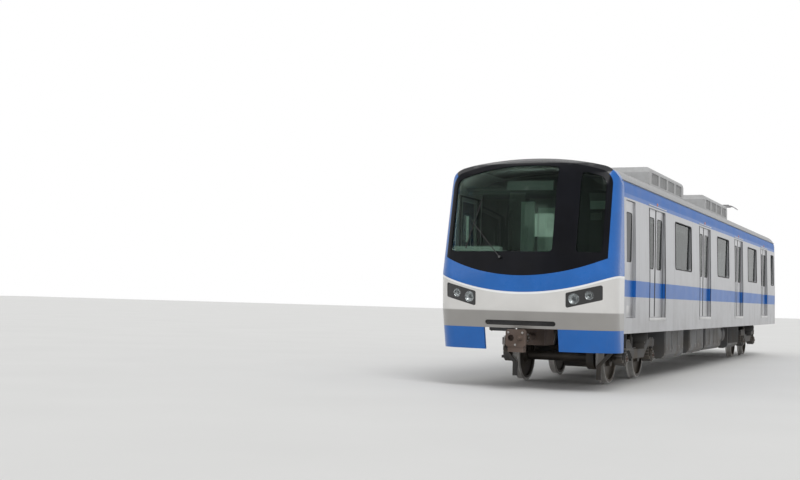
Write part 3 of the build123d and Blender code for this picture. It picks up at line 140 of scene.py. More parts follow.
def roof_z(y: float) -> float:
    """The roof's height at a distance from the middle, inside the cantrails."""
    return ROOF_CROWN - y * y / (2 * ROOF_ARC)


# Node trees


class NodeBench:
    """Puts nodes into one tree and links them."""

    def __init__(self, tree: bpy.types.NodeTree) -> None:
        """Takes the tree that the nodes go into."""
        self.tree = tree

    def put(self, kind: str, inputs: dict | None = None, **settings: object) -> bpy.types.Node:
        """Adds a node.

        Args:
            kind: The node's type name.
            inputs: Values or sockets for its inputs, by name or number.
            **settings: Values for its own properties.

        Returns:
            The new node.
        """
        node = self.tree.nodes.new(kind)
        for name, value in settings.items():
            setattr(node, name, value)
        self.feed(node, inputs or {})
        return node

    def feed(self, node: bpy.types.Node, inputs: dict) -> None:
        """Fills a node's inputs.

        Args:
            node: The node.
            inputs: Values or sockets for its inputs, by name or number.
        """
        for key, value in inputs.items():
            if isinstance(value, Socket):
                self.tree.links.new(value, node.inputs[key])
            else:
                node.inputs[key].default_value = value

    def calc(self, operation: str, *values: Value) -> Socket:
        """Adds a math node and returns its result."""
        return self.put("ShaderNodeMath", dict(enumerate(values)), operation=operation).outputs[0]

    def clamp(self, value: Value) -> Socket:
        """Limits a value to 0 to 1."""
        return self.put("ShaderNodeClamp", {0: value}).outputs[0]

    def mix(self, share: Value, first: object, second: object) -> Socket:
        """Mixes two colours by a share and returns the mixed colour."""
        node = self.put("ShaderNodeMix", {0: share, 6: first, 7: second}, data_type="RGBA")
        return node.outputs[2]

    def spread(self, value: Value, low: float, high: float) -> Socket:
        """Maps low to high of a value onto 0 to 1, smoothly, with no overshoot."""
        node = self.put(
            "ShaderNodeMapRange", {0: value, 1: low, 2: high}, interpolation_type="SMOOTHSTEP"
        )
        return node.outputs[0]

    def group(self, tree: bpy.types.NodeTree, **values: float) -> bpy.types.Node:
        """Places a shared group with its own values."""
        return self.put("ShaderNodeGroup", values, node_tree=tree)

    def dot(self, first: Socket, second: Socket) -> Socket:
        """The dot product of two vectors."""
        node = self.put("ShaderNodeVectorMath", {0: first, 1: second}, operation="DOT_PRODUCT")
        return node.outputs["Value"]

    def place(self) -> Socket:
        """The surface point's place in the object's own coordinates."""
        return self.put("ShaderNodeTexCoord").outputs["Object"]

    def axes(self) -> tuple[Socket, Socket, Socket]:
        """The X, Y and Z of the surface point."""
        split = self.put("ShaderNodeSeparateXYZ", {0: self.place()})
        return split.outputs[0], split.outputs[1], split.outputs[2]

    def noise(self, scale: Value, stretch: Colour = (1, 1, 1), detail: float = 4) -> Socket:
        """Noise over the object's own coordinates, stretched along its axes."""
        mapped = self.put("ShaderNodeMapping", {"Vector": self.place(), "Scale": stretch})
        inputs = {"Vector": mapped.outputs[0], "Scale": scale, "Detail": detail}
        return self.put("ShaderNodeTexNoise", inputs).outputs[0]


def new_material(name: str) -> tuple[bpy.types.Material, NodeBench, bpy.types.Node]:
    """Starts a material.

    Args:
        name: Its name.

    Returns:
        The material, the bench for its tree and its surface shader.
    """
    made = bpy.data.materials.new(name)
    made.use_nodes = True
    return made, NodeBench(made.node_tree), made.node_tree.nodes["Principled BSDF"]


def shader_group(
    name: str, inputs: dict[str, float], outputs: dict[str, str]
) -> tuple[NodeBench, Sequence[Socket], bpy.types.Node]:
    """Starts a shader node group.

    Args:
        name: The group's name.
        inputs: Its number inputs with their usual values.
        outputs: Its outputs with their socket types.

    Returns:
        The bench for its tree, what it is given and its output node.
    """
    tree = bpy.data.node_groups.new(name, "ShaderNodeTree")
    for label, usual in inputs.items():
        made = tree.interface.new_socket(label, in_out="INPUT", socket_type="NodeSocketFloat")
        made.default_value = usual
    for label, kind in outputs.items():
        tree.interface.new_socket(label, in_out="OUTPUT", socket_type=kind)
    given = tree.nodes.new("NodeGroupInput").outputs
    return NodeBench(tree), given, tree.nodes.new("NodeGroupOutput")


@cache
def dust_group() -> bpy.types.NodeTree:
    """Brake dust and road film: thick low down and on faces that look up, broken by noise."""
    bench, given, leave = shader_group(
        "track_dust", {"Amount": 0.2, "Top": 2.4, "Scale": 3.0}, {"Mask": "NodeSocketFloat"}
    )
    height = bench.axes()[2]
    fall = bench.clamp(bench.calc("DIVIDE", bench.calc("SUBTRACT", given["Top"], height), 2.0))
    patches = bench.spread(bench.noise(given["Scale"], detail=8), 0.38, 0.70)
    normal = bench.put("ShaderNodeNewGeometry").outputs["Normal"]
    upward = bench.clamp(bench.put("ShaderNodeSeparateXYZ", {0: normal}).outputs[2])
    share = bench.calc("ADD", bench.calc("MULTIPLY", fall, 0.9), bench.calc("MULTIPLY", upward, 0.45))
    rough = bench.calc("MULTIPLY_ADD", patches, 0.75, 0.25)
    mask = bench.calc("MULTIPLY", bench.calc("MULTIPLY", share, rough), given["Amount"])
    bench.feed(leave, {"Mask": bench.clamp(mask)})
    return bench.tree


@cache
def streak_group() -> bpy.types.NodeTree:
    """Faint rain streaks that run down a surface."""
    bench, given, leave = shader_group(
        "rain_streaks", {"Amount": 0.1, "Scale": 5.0}, {"Mask": "NodeSocketFloat"}
    )
    streaks = bench.spread(bench.noise(given["Scale"], (4.0, 4.0, 0.25), 6), 0.48, 0.74)
    bench.feed(leave, {"Mask": bench.calc("MULTIPLY", streaks, given["Amount"])})
    return bench.tree


@cache
def grain_group() -> bpy.types.NodeTree:
    """Fine surface grain, as a value and as a bumped normal, stretched along X for brushed metal."""
    bench, given, leave = shader_group(
        "surface_grain",
        {"Scale": 300.0, "Height": 0.0003, "Brushed": 0.0},
        {"Value": "NodeSocketFloat", "Normal": "NodeSocketVector"},
    )
    even = bench.noise(given["Scale"], detail=3)
    drawn = bench.noise(given["Scale"], (0.02, 1.0, 1.0), 3)
    change = bench.calc("MULTIPLY", bench.calc("SUBTRACT", drawn, even), given["Brushed"])
    value = bench.calc("ADD", even, change)
    sizes = {"Strength": 0.6, "Distance": given["Height"], "Height": value}
    bump = bench.put("ShaderNodeBump", sizes)
    bench.feed(leave, {"Value": value, "Normal": bump.outputs[0]})
    return bench.tree


@cache
def wear_group() -> bpy.types.NodeTree:
    """Wear along edges: where a bevelled normal leaves the face's own, broken by noise."""
    bench, given, leave = shader_group(
        "edge_wear", {"Amount": 0.5, "Radius": 0.01, "Scale": 14.0}, {"Mask": "NodeSocketFloat"}
    )
    eased = bench.put("ShaderNodeBevel", {"Radius": given["Radius"]}, samples=4).outputs[0]
    normal = bench.put("ShaderNodeNewGeometry").outputs["Normal"]
    edge = bench.spread(bench.calc("SUBTRACT", 1.0, bench.dot(eased, normal)), 0.02, 0.25)
    broken = bench.spread(bench.noise(given["Scale"], detail=6), 0.42, 0.62)
    mask = bench.calc("MULTIPLY", bench.calc("MULTIPLY", edge, broken), given["Amount"])
    bench.feed(leave, {"Mask": bench.clamp(mask)})
    return bench.tree


# Finishes

BLUE_RGB = (0.004, 0.118, 0.44)
CAP_RGB = (0.005, 0.0055, 0.008)


@dataclass(frozen=True)
class Finish:
    """A surface with dust, streaks, grain and wear over one colour.

    Args:
        name: The material's name.
        colour: The surface's own colour.
        roughness: How dull it is where it is clean.
        metallic: 1 for bare metal.
        coat: How much clear lacquer lies over it.
        shine: How strongly it mirrors, where 0.5 is usual.
        dust: How much dust it holds, up to dust_top, in patches as fine as dust_scale.
        streaks: How much the rain has marked it.
        grain: How fine its grain is, and grain_height how deep.
        brushed: 1 where the grain is drawn out along the car.
        wear: How much its edges have worn to worn_colour.
        mottle: How much its colour varies over a hand's breadth.
    """

    name: str
    colour: Colour
    roughness: float = 0.5
    metallic: float = 0.0
    coat: float = 0.0
    shine: float = 0.5
    dust: float = 0.15
    dust_top: float = 2.4
    dust_scale: float = 3.0
    dust_colour: Colour = (0.16, 0.135, 0.105)
    streaks: float = 0.0
    grain: float = 280.0
    grain_height: float = 0.0002
    brushed: float = 0.0
    wear: float = 0.0
    worn_colour: Colour = (0.32, 0.30, 0.28)
    mottle: float = 0.12

    def pattern(self, bench: NodeBench) -> object:
        """The colour before dust and wear; plain here, patterned in subclasses."""
        return (*self.colour, 1.0)

    def lined(self, bench: NodeBench) -> Socket | None:
        """Where a painted lining covers the sheet, if it has one."""
        return None

    def painted(self, bench: NodeBench) -> Socket | None:
        """Where paint hides the metal's shine, if it does."""
        return None

    def build(self) -> bpy.types.Material:
        """Makes the material."""
        made, bench, shader = new_material(self.name)
        noise = bench.spread(bench.noise(2.2, detail=5), 0.3, 0.7)
        dark, light = (
            bench.put("ShaderNodeHueSaturation", {"Value": value, "Color": self.pattern(bench)}).outputs[0]
            for value in (1 - self.mottle, 1 + self.mottle)
        )
        colour = bench.mix(noise, dark, light)
        rough = bench.calc("MULTIPLY_ADD", noise, 0.12 * self.roughness, 0.94 * self.roughness)
        metal: Value = self.metallic
        if self.wear:
            group = bench.group(wear_group(), Amount=self.wear)
            colour = bench.mix(group.outputs["Mask"], colour, (*self.worn_colour, 1.0))
            rough = bench.calc("SUBTRACT", rough, bench.calc("MULTIPLY", group.outputs["Mask"], 0.2))
        if self.streaks:
            group = bench.group(streak_group(), Amount=self.streaks)
            colour = bench.mix(group.outputs["Mask"], colour, (*self.dust_colour, 1.0))
            rough = bench.calc("ADD", rough, bench.calc("MULTIPLY", group.outputs["Mask"], 0.4))
        if self.dust:
            group = bench.group(dust_group(), Amount=self.dust, Top=self.dust_top, Scale=self.dust_scale)
            mask = group.outputs["Mask"]
            colour = bench.mix(mask, colour, (*self.dust_colour, 1.0))
            rough = bench.clamp(bench.calc("ADD", rough, bench.calc("MULTIPLY", mask, 0.5)))
            if self.metallic:
                metal = bench.calc("MULTIPLY", bench.calc("SUBTRACT", 1.0, mask), self.metallic)
        grain = bench.group(
            grain_group(), Scale=self.grain, Height=self.grain_height, Brushed=self.brushed
        )
        rough = bench.calc("ADD", rough, bench.calc("MULTIPLY_ADD", grain.outputs["Value"], 0.08, -0.04))
        painted = self.painted(bench)
        if painted:
            metal = bench.calc("MULTIPLY", bench.calc("SUBTRACT", 1.0, painted), metal)
        lined = self.lined(bench)
        if lined:
            colour = bench.mix(lined, colour, (*self.lining, 1.0))
            metal = bench.calc("MULTIPLY", bench.calc("SUBTRACT", 1.0, lined), metal)
            rough = bench.calc("MAXIMUM", rough, bench.calc("MULTIPLY", lined, 0.5))
        bench.feed(shader, {
            "Base Color": colour, "Roughness": rough, "Metallic": metal, "Normal": grain.outputs["Normal"],
            "Coat Weight": self.coat, "Coat Roughness": 0.04, "Specular IOR Level": self.shine,
        })
        return made


@dataclass(frozen=True)
class BandedFinish(Finish):
    """Brushed sheet with painted bands on its outer face.

    Args:
        band_colour: The bands' colour.
        bands: Each band's lowest and highest level.
        outside: The distance from the middle past which the paint lies.
        seams: The places along the car of the fine joints between panels.
        lining: The paint of the faces that look into the car.
        lining_middle: The height of the middle that those faces look towards.
    """

    band_colour: Colour = BLUE_RGB
    bands: Pairs = ()
    outside: float = 1.40
    seams: tuple[float, ...] = ()
    lining: Colour = (0.56, 0.57, 0.56)
    lining_middle: float = RAIL + 2.30

    def lined(self, bench: NodeBench) -> Socket:
        """The faces inside the skin that look towards the middle of the car."""
        _, y, z = bench.axes()
        rise = bench.calc("SUBTRACT", z, self.lining_middle)
        outward = bench.put("ShaderNodeCombineXYZ", {1: y, 2: rise}).outputs[0]
        normal = bench.put("ShaderNodeNewGeometry").outputs["Normal"]
        facing = bench.dot(outward, normal)
        inside = bench.calc("LESS_THAN", bench.calc("ABSOLUTE", y), self.outside)
        return bench.calc("MULTIPLY", inside, bench.calc("LESS_THAN", facing, -0.1))

    def painted(self, bench: NodeBench) -> Socket:
        """The bands, on the outer face only."""
        _, y, z = bench.axes()
        levels: Value = 0.0
        for low, high in self.bands:
            band = bench.calc("COMPARE", z, (low + high) / 2, (high - low) / 2)
            levels = bench.calc("MAXIMUM", levels, band)
        skin = bench.calc("GREATER_THAN", bench.calc("ABSOLUTE", y), self.outside)
        return bench.calc("MULTIPLY", levels, skin)

    def pattern(self, bench: NodeBench) -> object:
        """The sheet's colour, with the bands and joints laid over it."""
        x, y, _ = bench.axes()
        skin = bench.calc("GREATER_THAN", bench.calc("ABSOLUTE", y), self.outside)
        colour = bench.mix(self.painted(bench), (*self.colour, 1.0), (*self.band_colour, 1.0))
        for seam in self.seams:
            near = bench.calc("COMPARE", x, seam, 0.002)
            colour = bench.mix(bench.calc("MULTIPLY", near, skin), colour, (0.03, 0.03, 0.03, 1.0))
        return colour


@dataclass(frozen=True)
class CapFinish(Finish):
    """The nose's surround: blue pillars and band, and a black cap that carries on the mask's top.

    Args:
        cap_colour: The cap's colour.
        cap_level: The height past which the cap lies.
        cap_half: How far from the middle its edge is level.
        cap_slope: How steeply it climbs after that.
    """

    cap_colour: Colour = CAP_RGB
    cap_level: float = RAIL + 3.36
    cap_half: float = 1.245
    cap_slope: float = 1.7

    def pattern(self, bench: NodeBench) -> object:
        """Blue, with the black cap laid over it."""
        _, y, z = bench.axes()
        past = bench.calc("MAXIMUM", bench.calc("SUBTRACT", bench.calc("ABSOLUTE", y), self.cap_half), 0.0)
        edge = bench.calc("MULTIPLY_ADD", past, self.cap_slope, self.cap_level)
        cap = bench.calc("GREATER_THAN", z, edge)
        return bench.mix(cap, (*self.colour, 1.0), (*self.cap_colour, 1.0))


@dataclass(frozen=True)
class PanelFinish(Finish):
    """The nose's lower panel: painted highlight on its edge under the band, painted shade on the greyer
    field under the crease.

    Args:
        edge_highlight_colour: The painted highlight's colour along the edge line.
        shaded_low_colour: The greyer field's colour under the crease, darkened with painted shade.
        crease: The crease's height.
        edge_centre: The panel's top at the middle.
        edge_rise: How far it climbs at edge_half from the middle.
        edge_width: The edge line's width.
    """

    # The edge line is a painted highlight along the panel's top edge under the band.
    edge_highlight_colour: Colour = (0.86, 0.87, 0.88)
    # The field under the crease is greyer paint darkened further with painted shade.
    shaded_low_colour: Colour = (0.30, 0.29, 0.275)
    crease: float = RAIL + 1.22
    edge_centre: float = RAIL + 1.52
    edge_rise: float = 0.31
    edge_half: float = 1.53
    edge_width: float = 0.034

    def pattern(self, bench: NodeBench) -> object:
        """White field, a painted highlight along the edge line, and a grey lower field darkened with
        painted shade.
        """
        _, y, z = bench.axes()
        climb = bench.calc("MULTIPLY", bench.calc("MULTIPLY", y, y), self.edge_rise / self.edge_half**2)
        depth = bench.calc("SUBTRACT", bench.calc("ADD", climb, self.edge_centre), z)
        line = bench.calc("LESS_THAN", depth, self.edge_width)
        # Painted shade: the field under the crease is darkened.
        low = bench.spread(z, self.crease + 0.012, self.crease - 0.012)
        colour = bench.mix(low, (*self.colour, 1.0), (*self.shaded_low_colour, 1.0))
        # Lays the painted highlight along the edge line.
        return bench.mix(line, colour, (*self.edge_highlight_colour, 1.0))


@dataclass(frozen=True)
class WheelFinish(Finish):
    """A wheelset: bright tread and flange, oily hub and dusty web.

    Args:
        axle_x: Where the axle is along the car.
        tread_radius: The radius past which the rolled steel shows.
        tread_colour: The rolled steel's colour.
    """

    axle_x: float = 0.0
    tread_radius: float = 0.412
    tread_colour: Colour = (0.52, 0.51, 0.50)

    def pattern(self, bench: NodeBench) -> object:
        """Dark web and axle, bright rolled rim."""
        x, _, z = bench.axes()
        across = bench.calc("SUBTRACT", x, self.axle_x)
        up = bench.calc("SUBTRACT", z, AXLE_HEIGHT)
        squares = [bench.calc("MULTIPLY", part, part) for part in (across, up)]
        radius = bench.calc("SQRT", bench.calc("ADD", *squares))
        rolled = bench.calc("GREATER_THAN", radius, self.tread_radius)
        return bench.mix(rolled, (*self.colour, 1.0), (*self.tread_colour, 1.0))


@dataclass(frozen=True)
class LevelFinish(Finish):
    """Two colours that meet at a level, as on a frame that stands on insulators.

    Args:
        upper_colour: The colour above the level.
        level: The height where they meet.
    """

    upper_colour: Colour = (0.5, 0.5, 0.5)
    level: float = 1.0

    def pattern(self, bench: NodeBench) -> object:
        """The lower colour up to the level and the upper colour over it."""
        over = bench.calc("GREATER_THAN", bench.axes()[2], self.level)
        return bench.mix(over, (*self.colour, 1.0), (*self.upper_colour, 1.0))


@dataclass(frozen=True)
class ClothFinish(Finish):
    """Woven seat cloth with crossed threads.

    Args:
        thread: How fine its threads are.
    """

    thread: float = 900.0

    def pattern(self, bench: NodeBench) -> object:
        """Light and dark threads that cross."""
        waves = []
        for axis in ("Y", "DIAGONAL"):
            inputs = {"Vector": bench.place(), "Scale": self.thread / 20, "Distortion": 0.6}
            waves.append(bench.put("ShaderNodeTexWave", inputs, bands_direction=axis).outputs[1])
        weave = bench.calc("MULTIPLY", *waves)
        dark = tuple(0.5 * part for part in self.colour)
        return bench.mix(weave, (*dark, 1.0), (*self.colour, 1.0))


@dataclass(frozen=True)
class GlassFinish:
    """Tinted glass that lets lamp light through.

    Args:
        name: The material's name.
        tint: The colour of what is seen through it.
        film: How much dust lies on it.
        calm: The share of its mirroring that is taken off.
    """

    name: str
    tint: Colour
    film: float = 0.05
    calm: float = 0.4

    def build(self) -> bpy.types.Material:
        """Makes the material."""
        made, bench, shader = new_material(self.name)
        mask = bench.group(dust_group(), Amount=self.film, Top=4.0).outputs["Mask"]
        colour = bench.mix(mask, (*self.tint, 1.0), (0.5, 0.48, 0.44, 1.0))
        rough = bench.calc("MULTIPLY_ADD", mask, 0.5, 0.015)
        bench.feed(shader, {
            "Base Color": colour, "Roughness": rough, "Transmission Weight": 1.0, "IOR": 1.45
        })
        clear = bench.put("ShaderNodeBsdfTransparent", {"Color": (*self.tint, 1.0)})
        shadow = bench.put("ShaderNodeLightPath").outputs["Is Shadow Ray"]
        share = bench.calc("MAXIMUM", shadow, self.calm)
        both = bench.put("ShaderNodeMixShader", {0: share, 1: shader.outputs[0], 2: clear.outputs[0]})
        bench.feed(made.node_tree.nodes["Material Output"], {"Surface": both.outputs[0]})
        return made


@dataclass(frozen=True)
class GlowFinish:
    """A lit diffuser, or a display with a fine grid of dots.

    Args:
        name: The material's name.
        colour: What it shines.
        strength: How strongly.
        pitch: The pitch of its dots, or 0 for an even face.
    """

    name: str
    colour: Colour
    strength: float = 1.0
    pitch: float = 0.0

    def build(self) -> bpy.types.Material:
        """Makes the material."""
        made, bench, shader = new_material(self.name)
        soft = bench.spread(bench.noise(6.0), 0.2, 0.8)
        dim = tuple(0.82 * part for part in self.colour)
        colour = bench.mix(soft, (*dim, 1.0), (*self.colour, 1.0))
        if self.pitch:
            _, y, z = bench.axes()
            rows = []
            for axis in (y, z):
                step = bench.calc("FRACT", bench.calc("DIVIDE", axis, self.pitch))
                rows.append(bench.calc("ABSOLUTE", bench.calc("SUBTRACT", step, 0.5)))
            dots = bench.calc("LESS_THAN", bench.calc("MAXIMUM", *rows), 0.32)
            colour = bench.mix(dots, (0.004, 0.004, 0.004, 1.0), colour)
        bench.feed(shader, {
            "Base Color": colour, "Emission Color": colour, "Emission Strength": self.strength,
            "Roughness": 0.35,
        })
        return made


AnyFinish = Finish | GlassFinish | GlowFinish


@cache
def material_of(finish: AnyFinish) -> bpy.types.Material:
    """The material of a finish, made once."""
    return finish.build()


WAIST_BAND = (RAIL + 1.49, RAIL + 1.76)
CANTRAIL_BAND = (RAIL + 3.08, RAIL + 3.34)
PANEL_SEAMS = tuple(x + way * 1.45 for x in DOORWAYS for way in (-1, 1))

ROOF_GRIME = (0.235, 0.225, 0.205)
# The side sheet's grey is darkened with painted shade, for the shade that the car's sides stand in, so it
# is darker than the door sheet.
SHADED_SIDE_SHEET = BandedFinish(
    "side_sheet", (0.47, 0.475, 0.49), roughness=0.36, metallic=0.75, dust=0.22, streaks=0.10,
    brushed=1.0, grain=420.0, mottle=0.04, bands=(WAIST_BAND, CANTRAIL_BAND), seams=PANEL_SEAMS,
)
DOOR_SHEET = BandedFinish(
    "door_sheet", (0.50, 0.505, 0.52), roughness=0.33, metallic=0.8, dust=0.16, streaks=0.06,
    brushed=1.0, grain=420.0, mottle=0.04, bands=(WAIST_BAND,),
)
# The crew doors' inner faces take a near-black lining: painted shade of the unlit cab.
CREW_SHEET = replace(DOOR_SHEET, name="crew_door_sheet", lining=(0.030, 0.034, 0.033))
ROOF_SHEET = BandedFinish(
    "roof_sheet", (0.36, 0.365, 0.37), roughness=0.5, dust=0.78, dust_top=3.3, dust_scale=14.0,
    dust_colour=ROOF_GRIME, mottle=0.04,
    bands=((RAIL + 3.10, CANTRAIL_BAND[1]),), outside=1.36,
)
END_SHEET = Finish("end_sheet", (0.50, 0.505, 0.52), roughness=0.42, metallic=0.6, dust=0.35, streaks=0.2)
BLUE_PAINT = Finish(
    "blue_paint", BLUE_RGB, roughness=0.3, coat=0.25, shine=0.35, dust=0.06, streaks=0.03, mottle=0.05
)
SURROUND_PAINT = CapFinish(
    "surround_paint", BLUE_RGB, roughness=0.26, coat=0.15, shine=0.35, dust=0.05, dust_top=3.4, mottle=0.05,
)
# Its edge line is a painted highlight, and its greyer field under the crease carries painted shade.
PANEL_PAINT = PanelFinish(
    "panel_paint", (0.66, 0.65, 0.63), roughness=0.3, coat=0.5, dust=0.10, mottle=0.03
)
MASK_GLOSS = Finish(
    "mask_gloss", CAP_RGB, roughness=0.16, shine=0.08, dust=0.02, dust_top=3.4, mottle=0.2,
    grain_height=0.00004,
)
FRONT_GLASS = GlassFinish("front_glass", (0.64, 0.73, 0.68), 0.02, 0.86)
SIDE_GLASS = GlassFinish("side_glass", (0.20, 0.235, 0.225), 0.06)
CREW_GLASS = GlassFinish("crew_door_glass", (0.070, 0.085, 0.080), 0.06)
CLEAR_GLASS = GlassFinish("clear_glass", (0.90, 0.92, 0.92), 0.02)
FRAME_PAINT = Finish("frame_paint", (0.055, 0.058, 0.062), roughness=0.6, dust=0.75, wear=0.5)
BOGIE_PAINT = Finish("bogie_paint", (0.060, 0.063, 0.068), roughness=0.55, dust=0.8, wear=0.6, mottle=0.2)
CASE_PAINT = Finish("case_paint", (0.105, 0.110, 0.117), roughness=0.5, dust=0.55, streaks=0.15, wear=0.3)
RUBBER = Finish("rubber", (0.014, 0.014, 0.015), roughness=0.72, dust=0.3, grain=500.0, mottle=0.3)
BELLOWS = Finish(
    "bellows_cloth", (0.022, 0.022, 0.024), roughness=0.85, dust=0.4, grain=700.0, grain_height=0.0006
)
BARE_STEEL = Finish("bare_steel", (0.55, 0.55, 0.55), roughness=0.3, metallic=1.0, dust=0.06, brushed=1.0)
BOLT_STEEL = Finish("bolt_steel", (0.34, 0.33, 0.32), roughness=0.45, metallic=0.9, dust=0.35)
CAST_IRON = Finish(
    "cast_iron", (0.105, 0.078, 0.066), roughness=0.68, metallic=0.35, dust=0.5, wear=0.5, grain=120.0,
    grain_height=0.0012, mottle=0.3, dust_colour=(0.13, 0.085, 0.06),
)
PAN_FRAME = LevelFinish(
    "pantograph_frame", (0.20, 0.075, 0.045), roughness=0.35, dust=0.3, dust_top=5.5,
    upper_colour=(0.30, 0.30, 0.31), level=ROOF_CROWN + 0.10,
)
PAN_TUBE = Finish(
    "pantograph_tube", (0.36, 0.36, 0.37), roughness=0.4, metallic=0.8, dust=0.25, dust_top=5.5
)
CARBON = Finish("carbon_strip", (0.020, 0.020, 0.021), roughness=0.5, dust=0.05, grain=600.0)
COOLER_PAINT = Finish(
    "cooler_paint", (0.42, 0.425, 0.43), roughness=0.5, dust=0.3, dust_top=5.2, dust_scale=12.0,
    dust_colour=ROOF_GRIME, mottle=0.04,
)
LINING = Finish(
    "cab_lining_paint", (0.66, 0.78, 0.70), roughness=0.55, dust=0.0, grain=160.0, mottle=0.06
)
# The cab lining is near black as painted shade: it stands in for the shade inside the unlit cab.
CAB_SHADE_LINING = Finish(
    "cab_dark_lining", (0.030, 0.034, 0.033), roughness=0.6, dust=0.0, grain=160.0, mottle=0.1
)
PALE_TRIM = Finish("cab_pale_trim", (0.62, 0.64, 0.63), roughness=0.5, dust=0.0, grain=400.0, mottle=0.04)
CEILING_PAINT = Finish("ceiling_paint", (0.62, 0.62, 0.61), roughness=0.6, dust=0.0)
FLOORING = Finish(
    "flooring", (0.115, 0.12, 0.13), roughness=0.6, dust=0.1, grain=90.0, grain_height=0.0005, mottle=0.3
)
DESK_PLASTIC = Finish(
    "desk_plastic", (0.045, 0.048, 0.052), roughness=0.6, dust=0.0, grain=900.0, grain_height=0.0006
)
BENCH_PLASTIC = Finish("bench_plastic", (0.025, 0.13, 0.30), roughness=0.35, coat=0.3, dust=0.0)
SEAT_CLOTH = ClothFinish(
    "seat_cloth_weave", (0.055, 0.07, 0.11), roughness=0.95, dust=0.0, grain=800.0, grain_height=0.0008
)
LAMP_BLACK = Finish("lamp_black", (0.012, 0.012, 0.013), roughness=0.28, coat=0.4, dust=0.04, grain=700.0)
CHROME = Finish(
    "reflector_chrome", (0.52, 0.53, 0.54), roughness=0.16, metallic=1.0, dust=0.0, mottle=0.02,
    grain_height=0.00002,
)
LAMP_RING = Finish(
    "lamp_ring_chrome", (0.66, 0.67, 0.68), roughness=0.10, metallic=1.0, dust=0.0, mottle=0.02,
    grain_height=0.00002,
)
PROJECTOR = Finish(
    "projector_glass", (0.030, 0.034, 0.038), roughness=0.05, coat=1.0, dust=0.0, mottle=0.02,
    grain_height=0.00001,
)
AMBER = GlowFinish("amber_lens", (0.55, 0.16, 0.01), 0.25)
CAB_LAMP = Finish("cab_lamp_cover", (0.22, 0.23, 0.22), roughness=0.5, dust=0.0)
# The partition door's frosted pane glows as painted light: it is no lamp, and stands in for the saloon's
# light coming through it.
FROSTED_PAINTED_GLOW = GlowFinish("frosted_pane", (0.60, 0.72, 0.64), 0.50)
CEILING_GLOW = GlowFinish("ceiling_glow", (1.0, 0.98, 0.93), 2.2)
BLANK_SIGN = GlowFinish("blank_sign", (0.10, 0.12, 0.11), 0.35, 0.008)
SCREEN_GLOW = GlowFinish("desk_screen", (0.03, 0.07, 0.10), 0.8)


# Mesh work


def stand(name: str, data: bpy.types.ID) -> bpy.types.Object:
    """Puts a new object into the scene.

    Args:
        name: Its name.
        data: Its mesh, lamp or camera.

    Returns:
        The object.
    """
    made = bpy.data.objects.new(name, data)
    bpy.context.scene.collection.objects.link(made)
    return made


def ridden(made: bpy.types.Object, body: str) -> bpy.types.Object:
    """Lets a finished object ride on its body, and logs its faces.

    Args:
        made: The object.
        body: The body that it rides on.

    Returns:
        The object itself.
    """
    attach(made, body)
    log.info("%s: %d faces on %s", made.name, len(made.data.polygons), body)
    return made


def circle(sides: int) -> list[Pair]:
    """The cosine and sine of each step round a circle."""
    turns = (2 * math.pi * step / sides for step in range(sides))
    return [(math.cos(turn), math.sin(turn)) for turn in turns]


